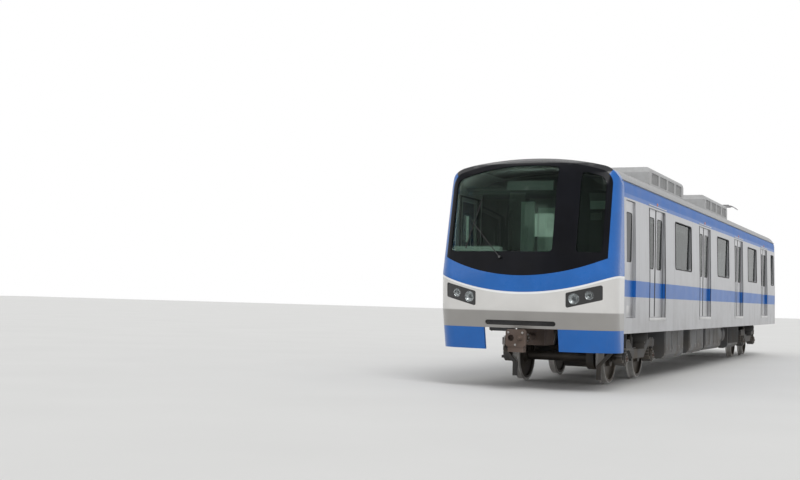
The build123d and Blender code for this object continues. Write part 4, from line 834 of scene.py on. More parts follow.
class Piece:
    """Collects the faces of one piece, in the car's own frame, and finishes it."""

    def __init__(self, name: str) -> None:
        """Starts an empty piece with its name."""
        self.name = name
        self.bm = bmesh.new()

    def block(
        self, centre: Triple, size: Triple, bevel: float = 0.0, turn: Matrix | None = None
    ) -> "Piece":
        """Adds a block.

        Args:
            centre: Its middle.
            size: Its length, width and height.
            bevel: The rounding of its edges.
            turn: How it is turned about its middle.

        Returns:
            The piece itself.
        """
        verts = bmesh.ops.create_cube(self.bm, size=1.0)["verts"]
        rotate = (turn or Matrix.Identity(3)).to_3x3()
        for vert in verts:
            vert.co = rotate @ Vector(part * length for part, length in zip(vert.co, size)) + Vector(centre)
        if bevel:
            edges = list(dict.fromkeys(edge for vert in verts for edge in vert.link_edges))
            bmesh.ops.bevel(self.bm, geom=edges, offset=bevel, segments=2, profile=0.6, affect="EDGES")
        return self

    def drum(
        self, start: Triple, end: Triple, radius: float, end_radius: float | None = None, sides: int = 24
    ) -> "Piece":
        """Adds a closed cylinder or cone.

        Args:
            start: The middle of its first end.
            end: The middle of its other end.
            radius: Its radius at the first end.
            end_radius: Its radius at the other end, where that differs.
            sides: How many faces go round it.

        Returns:
            The piece itself.
        """
        first, last = Vector(start), Vector(end)
        way = last - first
        place = Matrix.Translation((first + last) / 2) @ way.to_track_quat("Z", "Y").to_matrix().to_4x4()
        bmesh.ops.create_cone(
            self.bm, cap_ends=True, segments=sides, radius1=radius, depth=way.length, matrix=place,
            radius2=radius if end_radius is None else end_radius,
        )
        return self

    def bridge(self, rings: Sequence[Sequence[bmesh.types.BMVert]], closed: bool = False) -> None:
        """Joins each ring of points to the next with faces.

        Args:
            rings: The rings, of equal length; a ring of one repeated point is a pole.
            closed: Whether the last ring joins the first.
        """
        followers = [*rings[1:], rings[0]] if closed else rings[1:]
        for first, second in zip(rings, followers):
            for step in range(len(first)):
                after = (step + 1) % len(first)
                corners = dict.fromkeys((first[step], first[after], second[after], second[step]))
                self.bm.faces.new(list(corners))

    def tube(
        self, points: Sequence[Triple], radius: float, sides: int = 10, closed: bool = False,
        flat: float = 1.0,
    ) -> "Piece":
        """Adds a tube along a path.

        Args:
            points: The path.
            radius: The tube's radius.
            sides: How many faces go round it.
            closed: Whether the path ends where it starts.
            flat: The share of its thickness that is left on one of its two axes.

        Returns:
            The piece itself.
        """
        path = [Vector(point) for point in points]
        count = len(path)
        rings = []
        side = None
        for number, point in enumerate(path):
            before = path[number - 1] if closed or number else point
            after = path[(number + 1) % count] if closed or number < count - 1 else point
            way = (after - before).normalized()
            if side is None:
                side = way.orthogonal().normalized()
            side = (side - way * side.dot(way)).normalized()
            up = way.cross(side)
            rings.append([
                self.bm.verts.new(point + radius * (side * across + up * high * flat))
                for across, high in circle(sides)
            ])
        self.bridge(rings, closed)
        if not closed:
            self.bm.faces.new(reversed(rings[0]))
            self.bm.faces.new(rings[-1])
        return self

    def turned(
        self, foot: Triple, way: Triple, profile: Sequence[Pair], sides: int = 40
    ) -> "Piece":
        """Adds a closed turned form.

        Args:
            foot: The place on its axis that the profile counts from.
            way: The direction of its axis.
            profile: How far along and how wide it is, from one pole to the other.
            sides: How many steps go round it.

        Returns:
            The piece itself.
        """
        axis = Vector(way).normalized()
        side = axis.orthogonal().normalized()
        up = axis.cross(side)
        rings = []
        for along, radius in profile:
            centre = Vector(foot) + axis * along
            if radius:
                rings.append([
                    self.bm.verts.new(centre + radius * (side * across + up * high))
                    for across, high in circle(sides)
                ])
            else:
                rings.append([self.bm.verts.new(centre)] * sides)
        self.bridge(rings)
        return self

    def prism(self, outline: Sequence[Triple], offset: Triple) -> "Piece":
        """Adds a closed prism.

        Args:
            outline: The points of its flat foot, in order.
            offset: How far and which way the foot is pushed.

        Returns:
            The piece itself.
        """
        low = [self.bm.verts.new(point) for point in outline]
        high = [self.bm.verts.new(Vector(point) + Vector(offset)) for point in outline]
        self.bm.faces.new(low)
        self.bm.faces.new(list(reversed(high)))
        for number in range(len(low)):
            after = (number + 1) % len(low)
            self.bm.faces.new((low[after], low[number], high[number], high[after]))
        return self

    def ribbon(self, rows: Sequence[Sequence[Vector]], lift: Vector) -> "Piece":
        """Adds a closed strip.

        Args:
            rows: Its rows of points, each row across the strip.
            lift: How far and which way it is thickened.

        Returns:
            The piece itself.
        """
        low, high = (
            [[self.bm.verts.new(point + lift * share) for point in row] for row in rows]
            for share in (0.0, 1.0)
        )
        width = len(rows[0])
        for grid in (low, high):
            for first, second in zip(grid, grid[1:]):
                for step in range(width - 1):
                    self.bm.faces.new((first[step], first[step + 1], second[step + 1], second[step]))
        borders = [(low[end], high[end]) for end in (0, -1)]
        borders += [[[row[side] for row in grid] for grid in (low, high)] for side in (0, width - 1)]
        for foot, head in borders:
            for step in range(len(foot) - 1):
                self.bm.faces.new((foot[step], foot[step + 1], head[step + 1], head[step]))
        return self

    def mirrored(self) -> "Piece":
        """Adds the same faces on the car's other side."""
        made = bmesh.ops.duplicate(self.bm, geom=self.bm.verts[:] + self.bm.edges[:] + self.bm.faces[:])
        faces = []
        for part in made["geom"]:
            if isinstance(part, bmesh.types.BMVert):
                part.co.y = -part.co.y
            elif isinstance(part, bmesh.types.BMFace):
                faces.append(part)
        bmesh.ops.reverse_faces(self.bm, faces=faces)
        return self

    def done(
        self, finish: AnyFinish, slot: Slot, body: str = "carbody", sharp: float = 35.0
    ) -> bpy.types.Object:
        """Closes the piece.

        Args:
            finish: What it is made of.
            slot: Not used.
            body: The body that it rides on.
            sharp: The angle past which an edge stays sharp, in degrees.

        Returns:
            The finished object.
        """
        bmesh.ops.recalc_face_normals(self.bm, faces=self.bm.faces[:])
        return settle(self.name, self.bm, body, finish, sharp)


def pieces(*names: str) -> list[Piece]:
    """Starts several pieces."""
    return [Piece(name) for name in names]


def settle(
    name: str, bm: bmesh.types.BMesh, body: str, finish: AnyFinish, sharp: float
) -> bpy.types.Object:
    """Turns collected faces into an object that rides on its body.

    Args:
        name: The object's name.
        bm: The faces, which are freed.
        body: The body that it rides on.
        finish: What it is made of.
        sharp: The angle up to which it is shaded smooth, in degrees.

    Returns:
        The finished object.
    """
    for face in bm.faces:
        face.smooth = True
    for edge in bm.edges:
        edge.smooth = len(edge.link_faces) == 2 and edge.calc_face_angle(0.0) < math.radians(sharp)
    mesh = bpy.data.meshes.new(name)
    bm.to_mesh(mesh)
    bm.free()
    mesh.materials.append(material_of(finish))
    return ridden(stand(name, mesh), body)


def plain(made: bpy.types.Object) -> bpy.types.Object:
    """Replaces an object's modifiers by the mesh that they give.

    Args:
        made: The object.

    Returns:
        The object itself.
    """
    graph = bpy.context.evaluated_depsgraph_get()
    mesh = bpy.data.meshes.new_from_object(made.evaluated_get(graph))
    made.modifiers.clear()
    made.data = mesh
    return made


def dress(finishes: dict[str, AnyFinish]) -> None:
    """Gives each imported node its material.

    Args:
        finishes: Each node's finish, by the node's name.
    """
    for node, finish in finishes.items():
        slots = frame["nodes"][node].data.materials
        slots.clear()
        slots.append(material_of(finish))


def smooth_copies(rows: Iterable[tuple[str, AnyFinish, Slot]], sharp: float = 28.0) -> None:
    """Stands a merged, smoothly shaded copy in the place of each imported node.

    Args:
        rows: Each node's name, what it is made of and the record's slot.
        sharp: The angle past which an edge stays sharp, in degrees.
    """
    for node, finish, slot in rows:
        source = frame["nodes"][node]
        bm = bmesh.new()
        bm.from_mesh(source.data)
        bmesh.ops.remove_doubles(bm, verts=bm.verts, dist=0.00002)
        made = settle(node + "_skin", bm, source["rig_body"], finish, sharp)
        weighted = made.modifiers.new("weighted", "WEIGHTED_NORMAL")
        weighted.keep_sharp = True
        plain(made)
        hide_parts(node)


def rounded(
    centre: Sequence[float], width: float, height: float, radius: float, steps: int = 6
) -> list[Pair]:
    """The outline of a rounded rectangle.

    Args:
        centre: Its middle.
        width: Its size along the first axis.
        height: Its size along the second axis.
        radius: The radius of its corners.
        steps: The divisions of each corner.

    Returns:
        Its points, in order.
    """
    points = []
    for number, (across, up) in enumerate(((1, 1), (-1, 1), (-1, -1), (1, -1))):
        middle = (centre[0] + across * (width / 2 - radius), centre[1] + up * (height / 2 - radius))
        for step in range(steps + 1):
            turn = math.radians(90 * (number + step / steps))
            points.append((middle[0] + radius * math.cos(turn), middle[1] + radius * math.sin(turn)))
    return points


# Geometry node trees for what repeats


class Grower:
    """A geometry node tree that makes a repeated form, with named sizes."""

    def __init__(self, name: str, **inputs: str) -> None:
        """Starts the tree.

        Args:
            name: The tree's name.
            **inputs: Its sizes, each with the last part of its socket type.
        """
        self.tree = bpy.data.node_groups.new(name, "GeometryNodeTree")
        self.bench = NodeBench(self.tree)
        face = self.tree.interface
        face.new_socket("Geometry", in_out="INPUT", socket_type="NodeSocketGeometry")
        for label, kind in {**inputs, "Material": "Material"}.items():
            face.new_socket(label, in_out="INPUT", socket_type="NodeSocket" + kind)
        face.new_socket("Geometry", in_out="OUTPUT", socket_type="NodeSocketGeometry")
        self.given = self.tree.nodes.new("NodeGroupInput").outputs
        self.leave = self.tree.nodes.new("NodeGroupOutput")

    def node(self, kind: str, inputs: dict, **settings: object) -> Socket:
        """Adds a geometry node and returns its first output."""
        return self.bench.put("GeometryNode" + kind, inputs, **settings).outputs[0]

    def copies(self, points: Socket, form: Socket, **turn: Value | Triple) -> Socket:
        """Places copies of a form on points, with a Rotation or Scale where one is given."""
        return self.node("InstanceOnPoints", {"Points": points, "Instance": form, **turn})

    def joined(self, forms: Sequence[Socket]) -> Socket:
        """Joins several forms into one.

        Args:
            forms: The forms' sockets.

        Returns:
            The joined form.
        """
        node = self.bench.put("GeometryNodeJoinGeometry")
        for form in forms:
            self.tree.links.new(form, node.inputs[0])
        return node.outputs[0]

    def close(self, geometry: Socket) -> "Grower":
        """Ends the tree: instances are realized and the material is set."""
        real = self.node("RealizeInstances", {0: geometry})
        shaded = self.node("SetMaterial", {"Geometry": real, "Material": self.given["Material"]})
        self.tree.links.new(shaded, self.leave.inputs[0])
        return self

    def grow(
        self, name: str, points: Iterable[Triple], finish: AnyFinish, slot: Slot, body: str = "carbody",
        edges: Sequence[tuple[int, int]] = (), normals: Sequence[Triple] | None = None,
        **sizes: float | Triple,
    ) -> bpy.types.Object:
        """Makes one piece from the tree.

        Args:
            name: The piece's name.
            points: The points that the tree works on.
            finish: What it is made of.
            slot: Not used.
            body: The body that the piece rides on.
            edges: The edges between the points, where the tree follows a path.
            normals: The way that each point faces, where the tree turns its copies.
            **sizes: The tree's own inputs.

        Returns:
            The finished object, as a plain mesh.
        """
        mesh = bpy.data.meshes.new(name)
        mesh.from_pydata([tuple(point) for point in points], list(edges), [])
        if normals is not None:
            facing = mesh.attributes.new("facing", "FLOAT_VECTOR", "POINT")
            for number, normal in enumerate(normals):
                facing.data[number].vector = normal
        made = stand(name, mesh)
        modifier = made.modifiers.new("grow", "NODES")
        modifier.node_group = self.tree
        values = {**sizes, "Material": material_of(finish)}
        for item in self.tree.interface.items_tree:
            if item.name in values:
                modifier[item.identifier] = values[item.name]
        return ridden(plain(made), body)


@cache
def bolt_tree() -> Grower:
    """Hexagon bolts with washers, one on each point, turned to its facing."""
    grower = Grower("bolt_row", Radius="Float", Height="Float")
    bench, given = grower.bench, grower.given
    heads = []
    for sides, wide, share in ((6, 1.0, 1.0), (12, 1.5, 0.3)):
        radius = bench.calc("MULTIPLY", given["Radius"], wide)
        depth = bench.calc("MULTIPLY", given["Height"], share)
        heads.append(grower.node("MeshCylinder", {"Vertices": sides, "Radius": radius, "Depth": depth}))
    facing = grower.node("InputNamedAttribute", {"Name": "facing"}, data_type="FLOAT_VECTOR")
    turned = bench.put("FunctionNodeAlignRotationToVector", {"Vector": facing}, axis="Z").outputs[0]
    return grower.close(grower.copies(given["Geometry"], grower.joined(heads), Rotation=turned))


@cache
def bar_tree() -> Grower:
    """A row of like bars from each point, for slats, ribs, louvres and fins."""
    grower = Grower("bar_row", Count="Int", Step="Vector", Size="Vector", Tilt="Vector")
    given = grower.given
    line = grower.node("MeshLine", {"Count": given["Count"], "Offset": given["Step"]}, mode="OFFSET")
    bar = grower.node("MeshCube", {"Size": given["Size"]})
    row = grower.copies(line, bar, Rotation=given["Tilt"])
    return grower.close(grower.copies(given["Geometry"], row))


@cache
def bead_tree() -> Grower:
    """A rubber or metal bead that follows closed or open paths."""
    grower = Grower("bead", Radius="Float", Sides="Int")
    given = grower.given
    path = grower.node("MeshToCurve", {0: given["Geometry"]})
    profile = grower.node(
        "CurvePrimitiveCircle", {"Resolution": given["Sides"], "Radius": given["Radius"]}
    )
    return grower.close(
        grower.node("CurveToMesh", {"Curve": path, "Profile Curve": profile, "Fill Caps": True})
    )


@cache
def guard_tree() -> Grower:
    """A round wire guard over each point: rings and spokes, for a fan."""
    grower = Grower("fan_guard", Radius="Float", Rings="Int", Spokes="Int", Wire="Float")
    bench, given = grower.bench, grower.given
    number = grower.node("InputIndex", {})
    ring = grower.node("CurvePrimitiveCircle", {"Resolution": 40, "Radius": given["Radius"]})
    spoke = grower.node("CurvePrimitiveLine", {"Start": (0, 0, 0), "End": (1, 0, 0)})
    lines = [
        grower.node("MeshLine", {"Count": given[label], "Offset": (0, 0, 0)}, mode="OFFSET")
        for label in ("Rings", "Spokes")
    ]
    share = bench.calc("DIVIDE", bench.calc("ADD", number, 1.0), given["Rings"])
    angle = bench.calc("MULTIPLY", bench.calc("DIVIDE", number, given["Spokes"]), 2 * math.pi)
    turned = bench.put("ShaderNodeCombineXYZ", {"Z": angle}).outputs[0]
    rings = grower.copies(lines[0], ring, Scale=share)
    spokes = grower.copies(lines[1], spoke, Rotation=turned, Scale=given["Radius"])
    flat = [grower.node("RealizeInstances", {0: part}) for part in (rings, spokes)]
    wire = grower.node("CurvePrimitiveCircle", {"Resolution": 5, "Radius": given["Wire"]})
    mesh = grower.node("CurveToMesh", {"Curve": grower.joined(flat), "Profile Curve": wire})
    return grower.close(grower.copies(given["Geometry"], mesh))


@cache
def coil_tree() -> Grower:
    """A coil spring along X from each point."""
    grower = Grower("coil_spring", Radius="Float", Length="Float", Turns="Float", Wire="Float")
    given = grower.given
    sizes = {
        "Resolution": 16, "Rotations": given["Turns"], "Start Radius": given["Radius"],
        "End Radius": given["Radius"], "Height": given["Length"],
    }
    coil = grower.node("CurveSpiral", sizes)
    wire = grower.node("CurvePrimitiveCircle", {"Resolution": 6, "Radius": given["Wire"]})
    mesh = grower.node("CurveToMesh", {"Curve": coil, "Profile Curve": wire, "Fill Caps": True})
    return grower.close(grower.copies(given["Geometry"], mesh, Rotation=(0, math.pi / 2, 0)))


def bolts(
    name: str, points: Sequence[Triple], ways: Triple | Sequence[Triple], radius: float, height: float,
    body: str = "carbody", finish: AnyFinish = BOLT_STEEL, slot: Slot = Slot.STEEL,
) -> None:
    """Makes a piece of bolts with washers.

    Args:
        name: The piece's name.
        points: Each bolt's foot.
        ways: The way that all of them face, or each one's own.
        radius: The heads' radius.
        height: The heads' height.
        body: The body that they ride on.
        finish: What they are made of.
        slot: Not used; it is only passed on to the tree.
    """
    normals = [ways] * len(points) if isinstance(ways[0], (int, float)) else ways
    bolt_tree().grow(
        name, points, finish, slot, body, normals=normals, Radius=radius, Height=height
    )


def beads(
    name: str, outlines: Sequence[Sequence[Triple]], radius: float, sides: int, body: str = "carbody"
) -> None:
    """Makes a piece of rubber beads that follow closed outlines.

    Args:
        name: The piece's name.
        outlines: The outlines' points.
        radius: The beads' radius.
        sides: How many faces go round them.
        body: The body that they ride on.
    """
    points: list[Triple] = []
    edges: list[tuple[int, int]] = []
    for outline in outlines:
        start, count = len(points), len(outline)
        points += list(outline)
        edges += [(start + number, start + (number + 1) % count) for number in range(count)]
    bead_tree().grow(name, points, RUBBER, Slot.BELLOWS, body, edges, Radius=radius, Sides=sides)


# Sub-assemblies


@dataclass
class SideWalls:
    """The side walls, rear wall, roof and gangway, with gaskets, sills and small fittings.

    Args:
        window: The fixed windows' width, height and corner radius.
        end_window: The rear window's middle along the car and its width.
        doorway: The doorways' width and height.
        gasket: The radius of the windows' rubber beads.
        rail_rise: How far over a doorway its drip rail lies, and light_rise how far its light.
        saloon_ends: Where the saloon's ceiling and floor end along the car.
        ceiling: The ceiling panel's height and width.
        light_strip: The ceiling lights' place across the car, width and depth.
        grille: The ceiling grille's pitch, its margin at both ends and its bars' width.
    """

    window: Trio = (1.640, 0.900, 0.060)
    window_bottom: float = RAIL + 2.060
    end_window: Pair = (-9.484, 0.620)
    doorway: Pair = (1.300, 1.900)
    gasket: float = 0.011
    rail_rise: float = 0.05
    light_rise: float = 0.10
    saloon_ends: Pair = (-9.95, 8.27)
    ceiling: Pair = (ROOF_CROWN - CEILING_DEPTH - 0.10, 1.70)
    light_strip: Trio = (0.62, 0.16, 0.02)
    grille: Trio = (0.06, 0.3, 0.22)
    floor_width: float = 2.70
    floor_depth: float = 0.0002

    def build(self) -> None:
        """Dresses the walls and adds what is fixed to them."""
        dress({
            "side_wall_left": SHADED_SIDE_SHEET, "side_wall_right": SHADED_SIDE_SHEET, "side_glass": SIDE_GLASS,
            "rear_wall": END_SHEET, "underframe": FRAME_PAINT,
        })
        smooth_copies([("gangway", BELLOWS, Slot.BELLOWS)])
        smooth_copies([("roof", ROOF_SHEET, Slot.ROOF)], 20.0)
        self.gaskets()
        self.doorways()
        self.lining()

    def gaskets(self) -> None:
        """Rubber beads round the fixed windows, on the leaning outer skin."""
        width, height, radius = self.window
        spots = [(x, width) for x in WINDOWS] + [self.end_window]
        outlines = []
        for hand in Hand:
            for x, length in spots:
                outline = rounded((x, self.window_bottom + height / 2), length, height, radius)
                outlines.append([(px, hand.value * (side_y(pz) - 0.002), pz) for px, pz in outline])
        beads("window_gaskets", outlines, self.gasket, 8)

    def doorways(self) -> None:
        """Sill plates, rubber seals, drip rails and lights at the saloon doorways."""
        width, height = self.doorway
        top = FLOOR + height
        rail_z, light_z = top + self.rail_rise, top + self.light_rise
        sills, seals, rails, lights = pieces("door_sills", "door_seals", "drip_rails", "door_lights")
        for x in DOORWAYS:
            sills.block((x, HALF_WIDTH + 0.002, FLOOR - 0.030), (width + 0.04, 0.016, 0.050), 0.003)
            sills.block((x, HALF_WIDTH - 0.045, FLOOR + 0.002), (width - 0.01, 0.085, 0.004), 0.001)
            for way in (-1, 1):
                edge = x + way * (width / 2 + 0.004)
                outline = [(edge - 0.012, side_y(z) - 0.003, z) for z in (FLOOR, WAIST, top)]
                outline += [(edge + 0.012, y, z) for _, y, z in reversed(outline)]
                seals.prism(outline, (0, 0.008, 0))
            rails.block((x, side_y(rail_z) + 0.004, rail_z), (width + 0.16, 0.026, 0.016), 0.004)
            skin = side_y(light_z)
            lights.drum((x, skin - 0.004, light_z), (x, skin + 0.009, light_z), 0.028, 0.024)
        sills.mirrored().done(BARE_STEEL, Slot.STEEL)
        seals.mirrored().done(RUBBER, Slot.BELLOWS)
        rails.mirrored().done(BARE_STEEL, Slot.STEEL)
        lights.mirrored().done(AMBER, Slot.LENS)

    def lining(self) -> None:
        """The ceiling panel with its lights and grille, and the floor covering."""
        start, end = self.saloon_ends
        middle, length = (start + end) / 2, end - start
        low, width = self.ceiling
        Piece("ceiling_panel").block((middle, 0, low), (length, width, 0.012), 0.003).done(
            CEILING_PAINT, Slot.LINING
        )
        y, wide, deep = self.light_strip
        lights = Piece("ceiling_lights").block((middle, y, low - 0.012), (length - 0.2, wide, deep), 0.006)
        lights.mirrored().done(CEILING_GLOW, Slot.LENS)
        pitch, margin, bar = self.grille
        bar_tree().grow(
            "ceiling_grille", [(start + margin, 0, low - 0.010)], DESK_PLASTIC, Slot.LINING,
            Count=int((length - 2 * margin) / pitch), Step=(pitch, 0, 0), Size=(0.02, bar, 0.012),
            Tilt=(0, 0, 0),
        )
        Piece("floor_covering").block(
            (middle, 0, FLOOR + self.floor_depth / 2), (length, self.floor_width, self.floor_depth)
        ).done(FLOORING, Slot.DESK)


@dataclass
class SaloonDoors:
    """The sliding leaves and the crew doors: sheet, glass, gaskets, edge rubbers and handles.

    Args:
        leaf_y: A sliding leaf's inner and outer face, and crew_y a crew door's.
        pane: A leaf's pane: width, height and corner radius; crew_pane is the crew doors'.
        pane_offset: The pane's distance from the joint of the leaves.
        leaf_heights: Where a leaf starts and ends in height.
        handle: The handle's distance before the door's middle and its height over the floor.
    """

    leaf_y: Pair = (1.386, 1.418)
    pane: Trio = (0.400, 0.900, 0.060)
    pane_bottom: float = RAIL + 2.000
    pane_offset: float = 0.325
    leaf_heights: Pair = (FLOOR + 0.006, FLOOR + 1.921)
    crew_x: float = 8.880
    crew_y: Pair = (1.383, 1.419)
    crew_pane: Trio = (0.400, 0.800, 0.060)
    crew_bottom: float = RAIL + 2.060
    handle: Pair = (0.235, 0.78)

    def build(self) -> None:
        """Dresses every leaf."""
        for hand in Hand:
            name = hand.name.lower()
            for number, x in enumerate(DOORWAYS):
                for end, way in (("rear", -1), ("front", 1)):
                    self.leaf(f"door_{name}_{number + 1}_{end}", x, way, hand.value)
            self.crew_door(f"crew_door_{name}", hand.value)

    def glaze(
        self, body: str, x: float, bottom: float, size: Trio,
        faces: Pair, side: int, glass: GlassFinish = SIDE_GLASS,
    ) -> None:
        """Sets a pane and its two gaskets into a leaf.

        Args:
            body: The leaf.
            x: The pane's middle along the car.
            bottom: The height of its lower edge.
            size: Its width, height and corner radius.
            faces: The leaf's inner and outer face.
            side: The side of the car, as a sign.
            glass: What the pane is made of.
        """
        width, height, radius = size
        centre = (x, bottom + height / 2)
        inner, outer = faces
        outline = rounded(centre, width - 0.002, height - 0.002, radius - 0.001)
        pane = Piece(body + "_pane")
        pane.prism([(px, side * (outer - 0.014), pz) for px, pz in outline], (0, side * 0.010, 0))
        pane.done(glass, Slot.SIDE_GLASS, body)
        outlines = [
            [(px, side * y, pz) for px, pz in rounded(centre, width, height, radius)]
            for y in (outer - 0.002, inner + 0.002)
        ]
        beads(body + "_gasket", outlines, 0.0055, 6, body)

    def leaf(self, body: str, x: float, way: int, side: int) -> None:
        """Dresses one sliding leaf.

        Args:
            body: The leaf.
            x: The doorway's middle along the car.
            way: Which way the leaf lies from there, as a sign.
            side: The side of the car, as a sign.
        """
        dress({body: DOOR_SHEET})
        self.glaze(body, x + way * self.pane_offset, self.pane_bottom, self.pane, self.leaf_y, side)
        low, high = self.leaf_heights
        centre = (x + way * 0.018, side * (self.leaf_y[1] + 0.0012), (low + high) / 2)
        edge = Piece(body + "_edge").block(centre, (0.033, 0.0024, high - low - 0.02))
        edge.done(RUBBER, Slot.BELLOWS, body)

    def crew_door(self, body: str, side: int) -> None:
        """Dresses one crew door, with a handle on a cup and a kick plate.

        Args:
            body: The door.
            side: The side of the car, as a sign.
        """
        dress({body: CREW_SHEET})
        self.glaze(body, self.crew_x, self.crew_bottom, self.crew_pane, self.crew_y, side, CREW_GLASS)
        outer = self.crew_y[1]
        x, z = self.crew_x + self.handle[0], FLOOR + self.handle[1]
        cup = Piece(body + "_handle")
        cup.block((x, side * (outer + 0.002), z), (0.085, 0.006, 0.150), 0.002)
        grip = ((0.004, -0.055), (0.022, -0.045), (0.022, 0.045), (0.004, 0.055))
        cup.tube([(x, side * (outer + out), z + up) for out, up in grip], 0.007)
        cup.done(BARE_STEEL, Slot.STEEL, body)
        Piece(body + "_kick_plate").block(
            (self.crew_x, side * (outer + 0.001), FLOOR + 0.12), (0.58, 0.002, 0.16), 0.0008
        ).done(BARE_STEEL, Slot.STEEL, body)


class NoseSkin:
    """The nose's outer face, for setting things on it by their place in the front view."""

    ahead = 12.0
    tries = ((0, 0), (0.004, 0), (-0.004, 0), (0, 0.004), (0, -0.004))

    def __init__(self, nodes: Sequence[str]) -> None:
        """Gathers the faces of the nose.

        Args:
            nodes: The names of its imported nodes.
        """
        points: list[Vector] = []
        faces: list[tuple[int, ...]] = []
        for node in nodes:
            mesh = frame["nodes"][node].data
            start = len(points)
            points += [vert.co.copy() for vert in mesh.vertices]
            faces += [tuple(start + index for index in face.vertices) for face in mesh.polygons]
        self.tree = BVHTree.FromPolygons(points, faces)

    def at(self, y: float, z: float, lift: float = 0.0) -> Vector:
        """Finds a point of the skin.

        Args:
            y: Its place across the front view.
            z: Its height.
            lift: How far off the skin it is lifted.

        Returns:
            The point.
        """
        starts = [Vector((self.ahead, y + dy, z + dz)) for dy, dz in self.tries]
        hits = [self.tree.ray_cast(start, Vector((-1, 0, 0))) for start in starts]
        point, normal = max((hit[:2] for hit in hits if hit[0] is not None), key=lambda hit: hit[0].x)
        if normal.x < 0:
            normal = -normal
        return Vector((point.x, y, z)) + normal * lift

    def normal(self, y: float, z: float) -> Vector:
        """The outward way at a place of the front view."""
        return (self.at(y, z, 0.01) - self.at(y, z)).normalized()


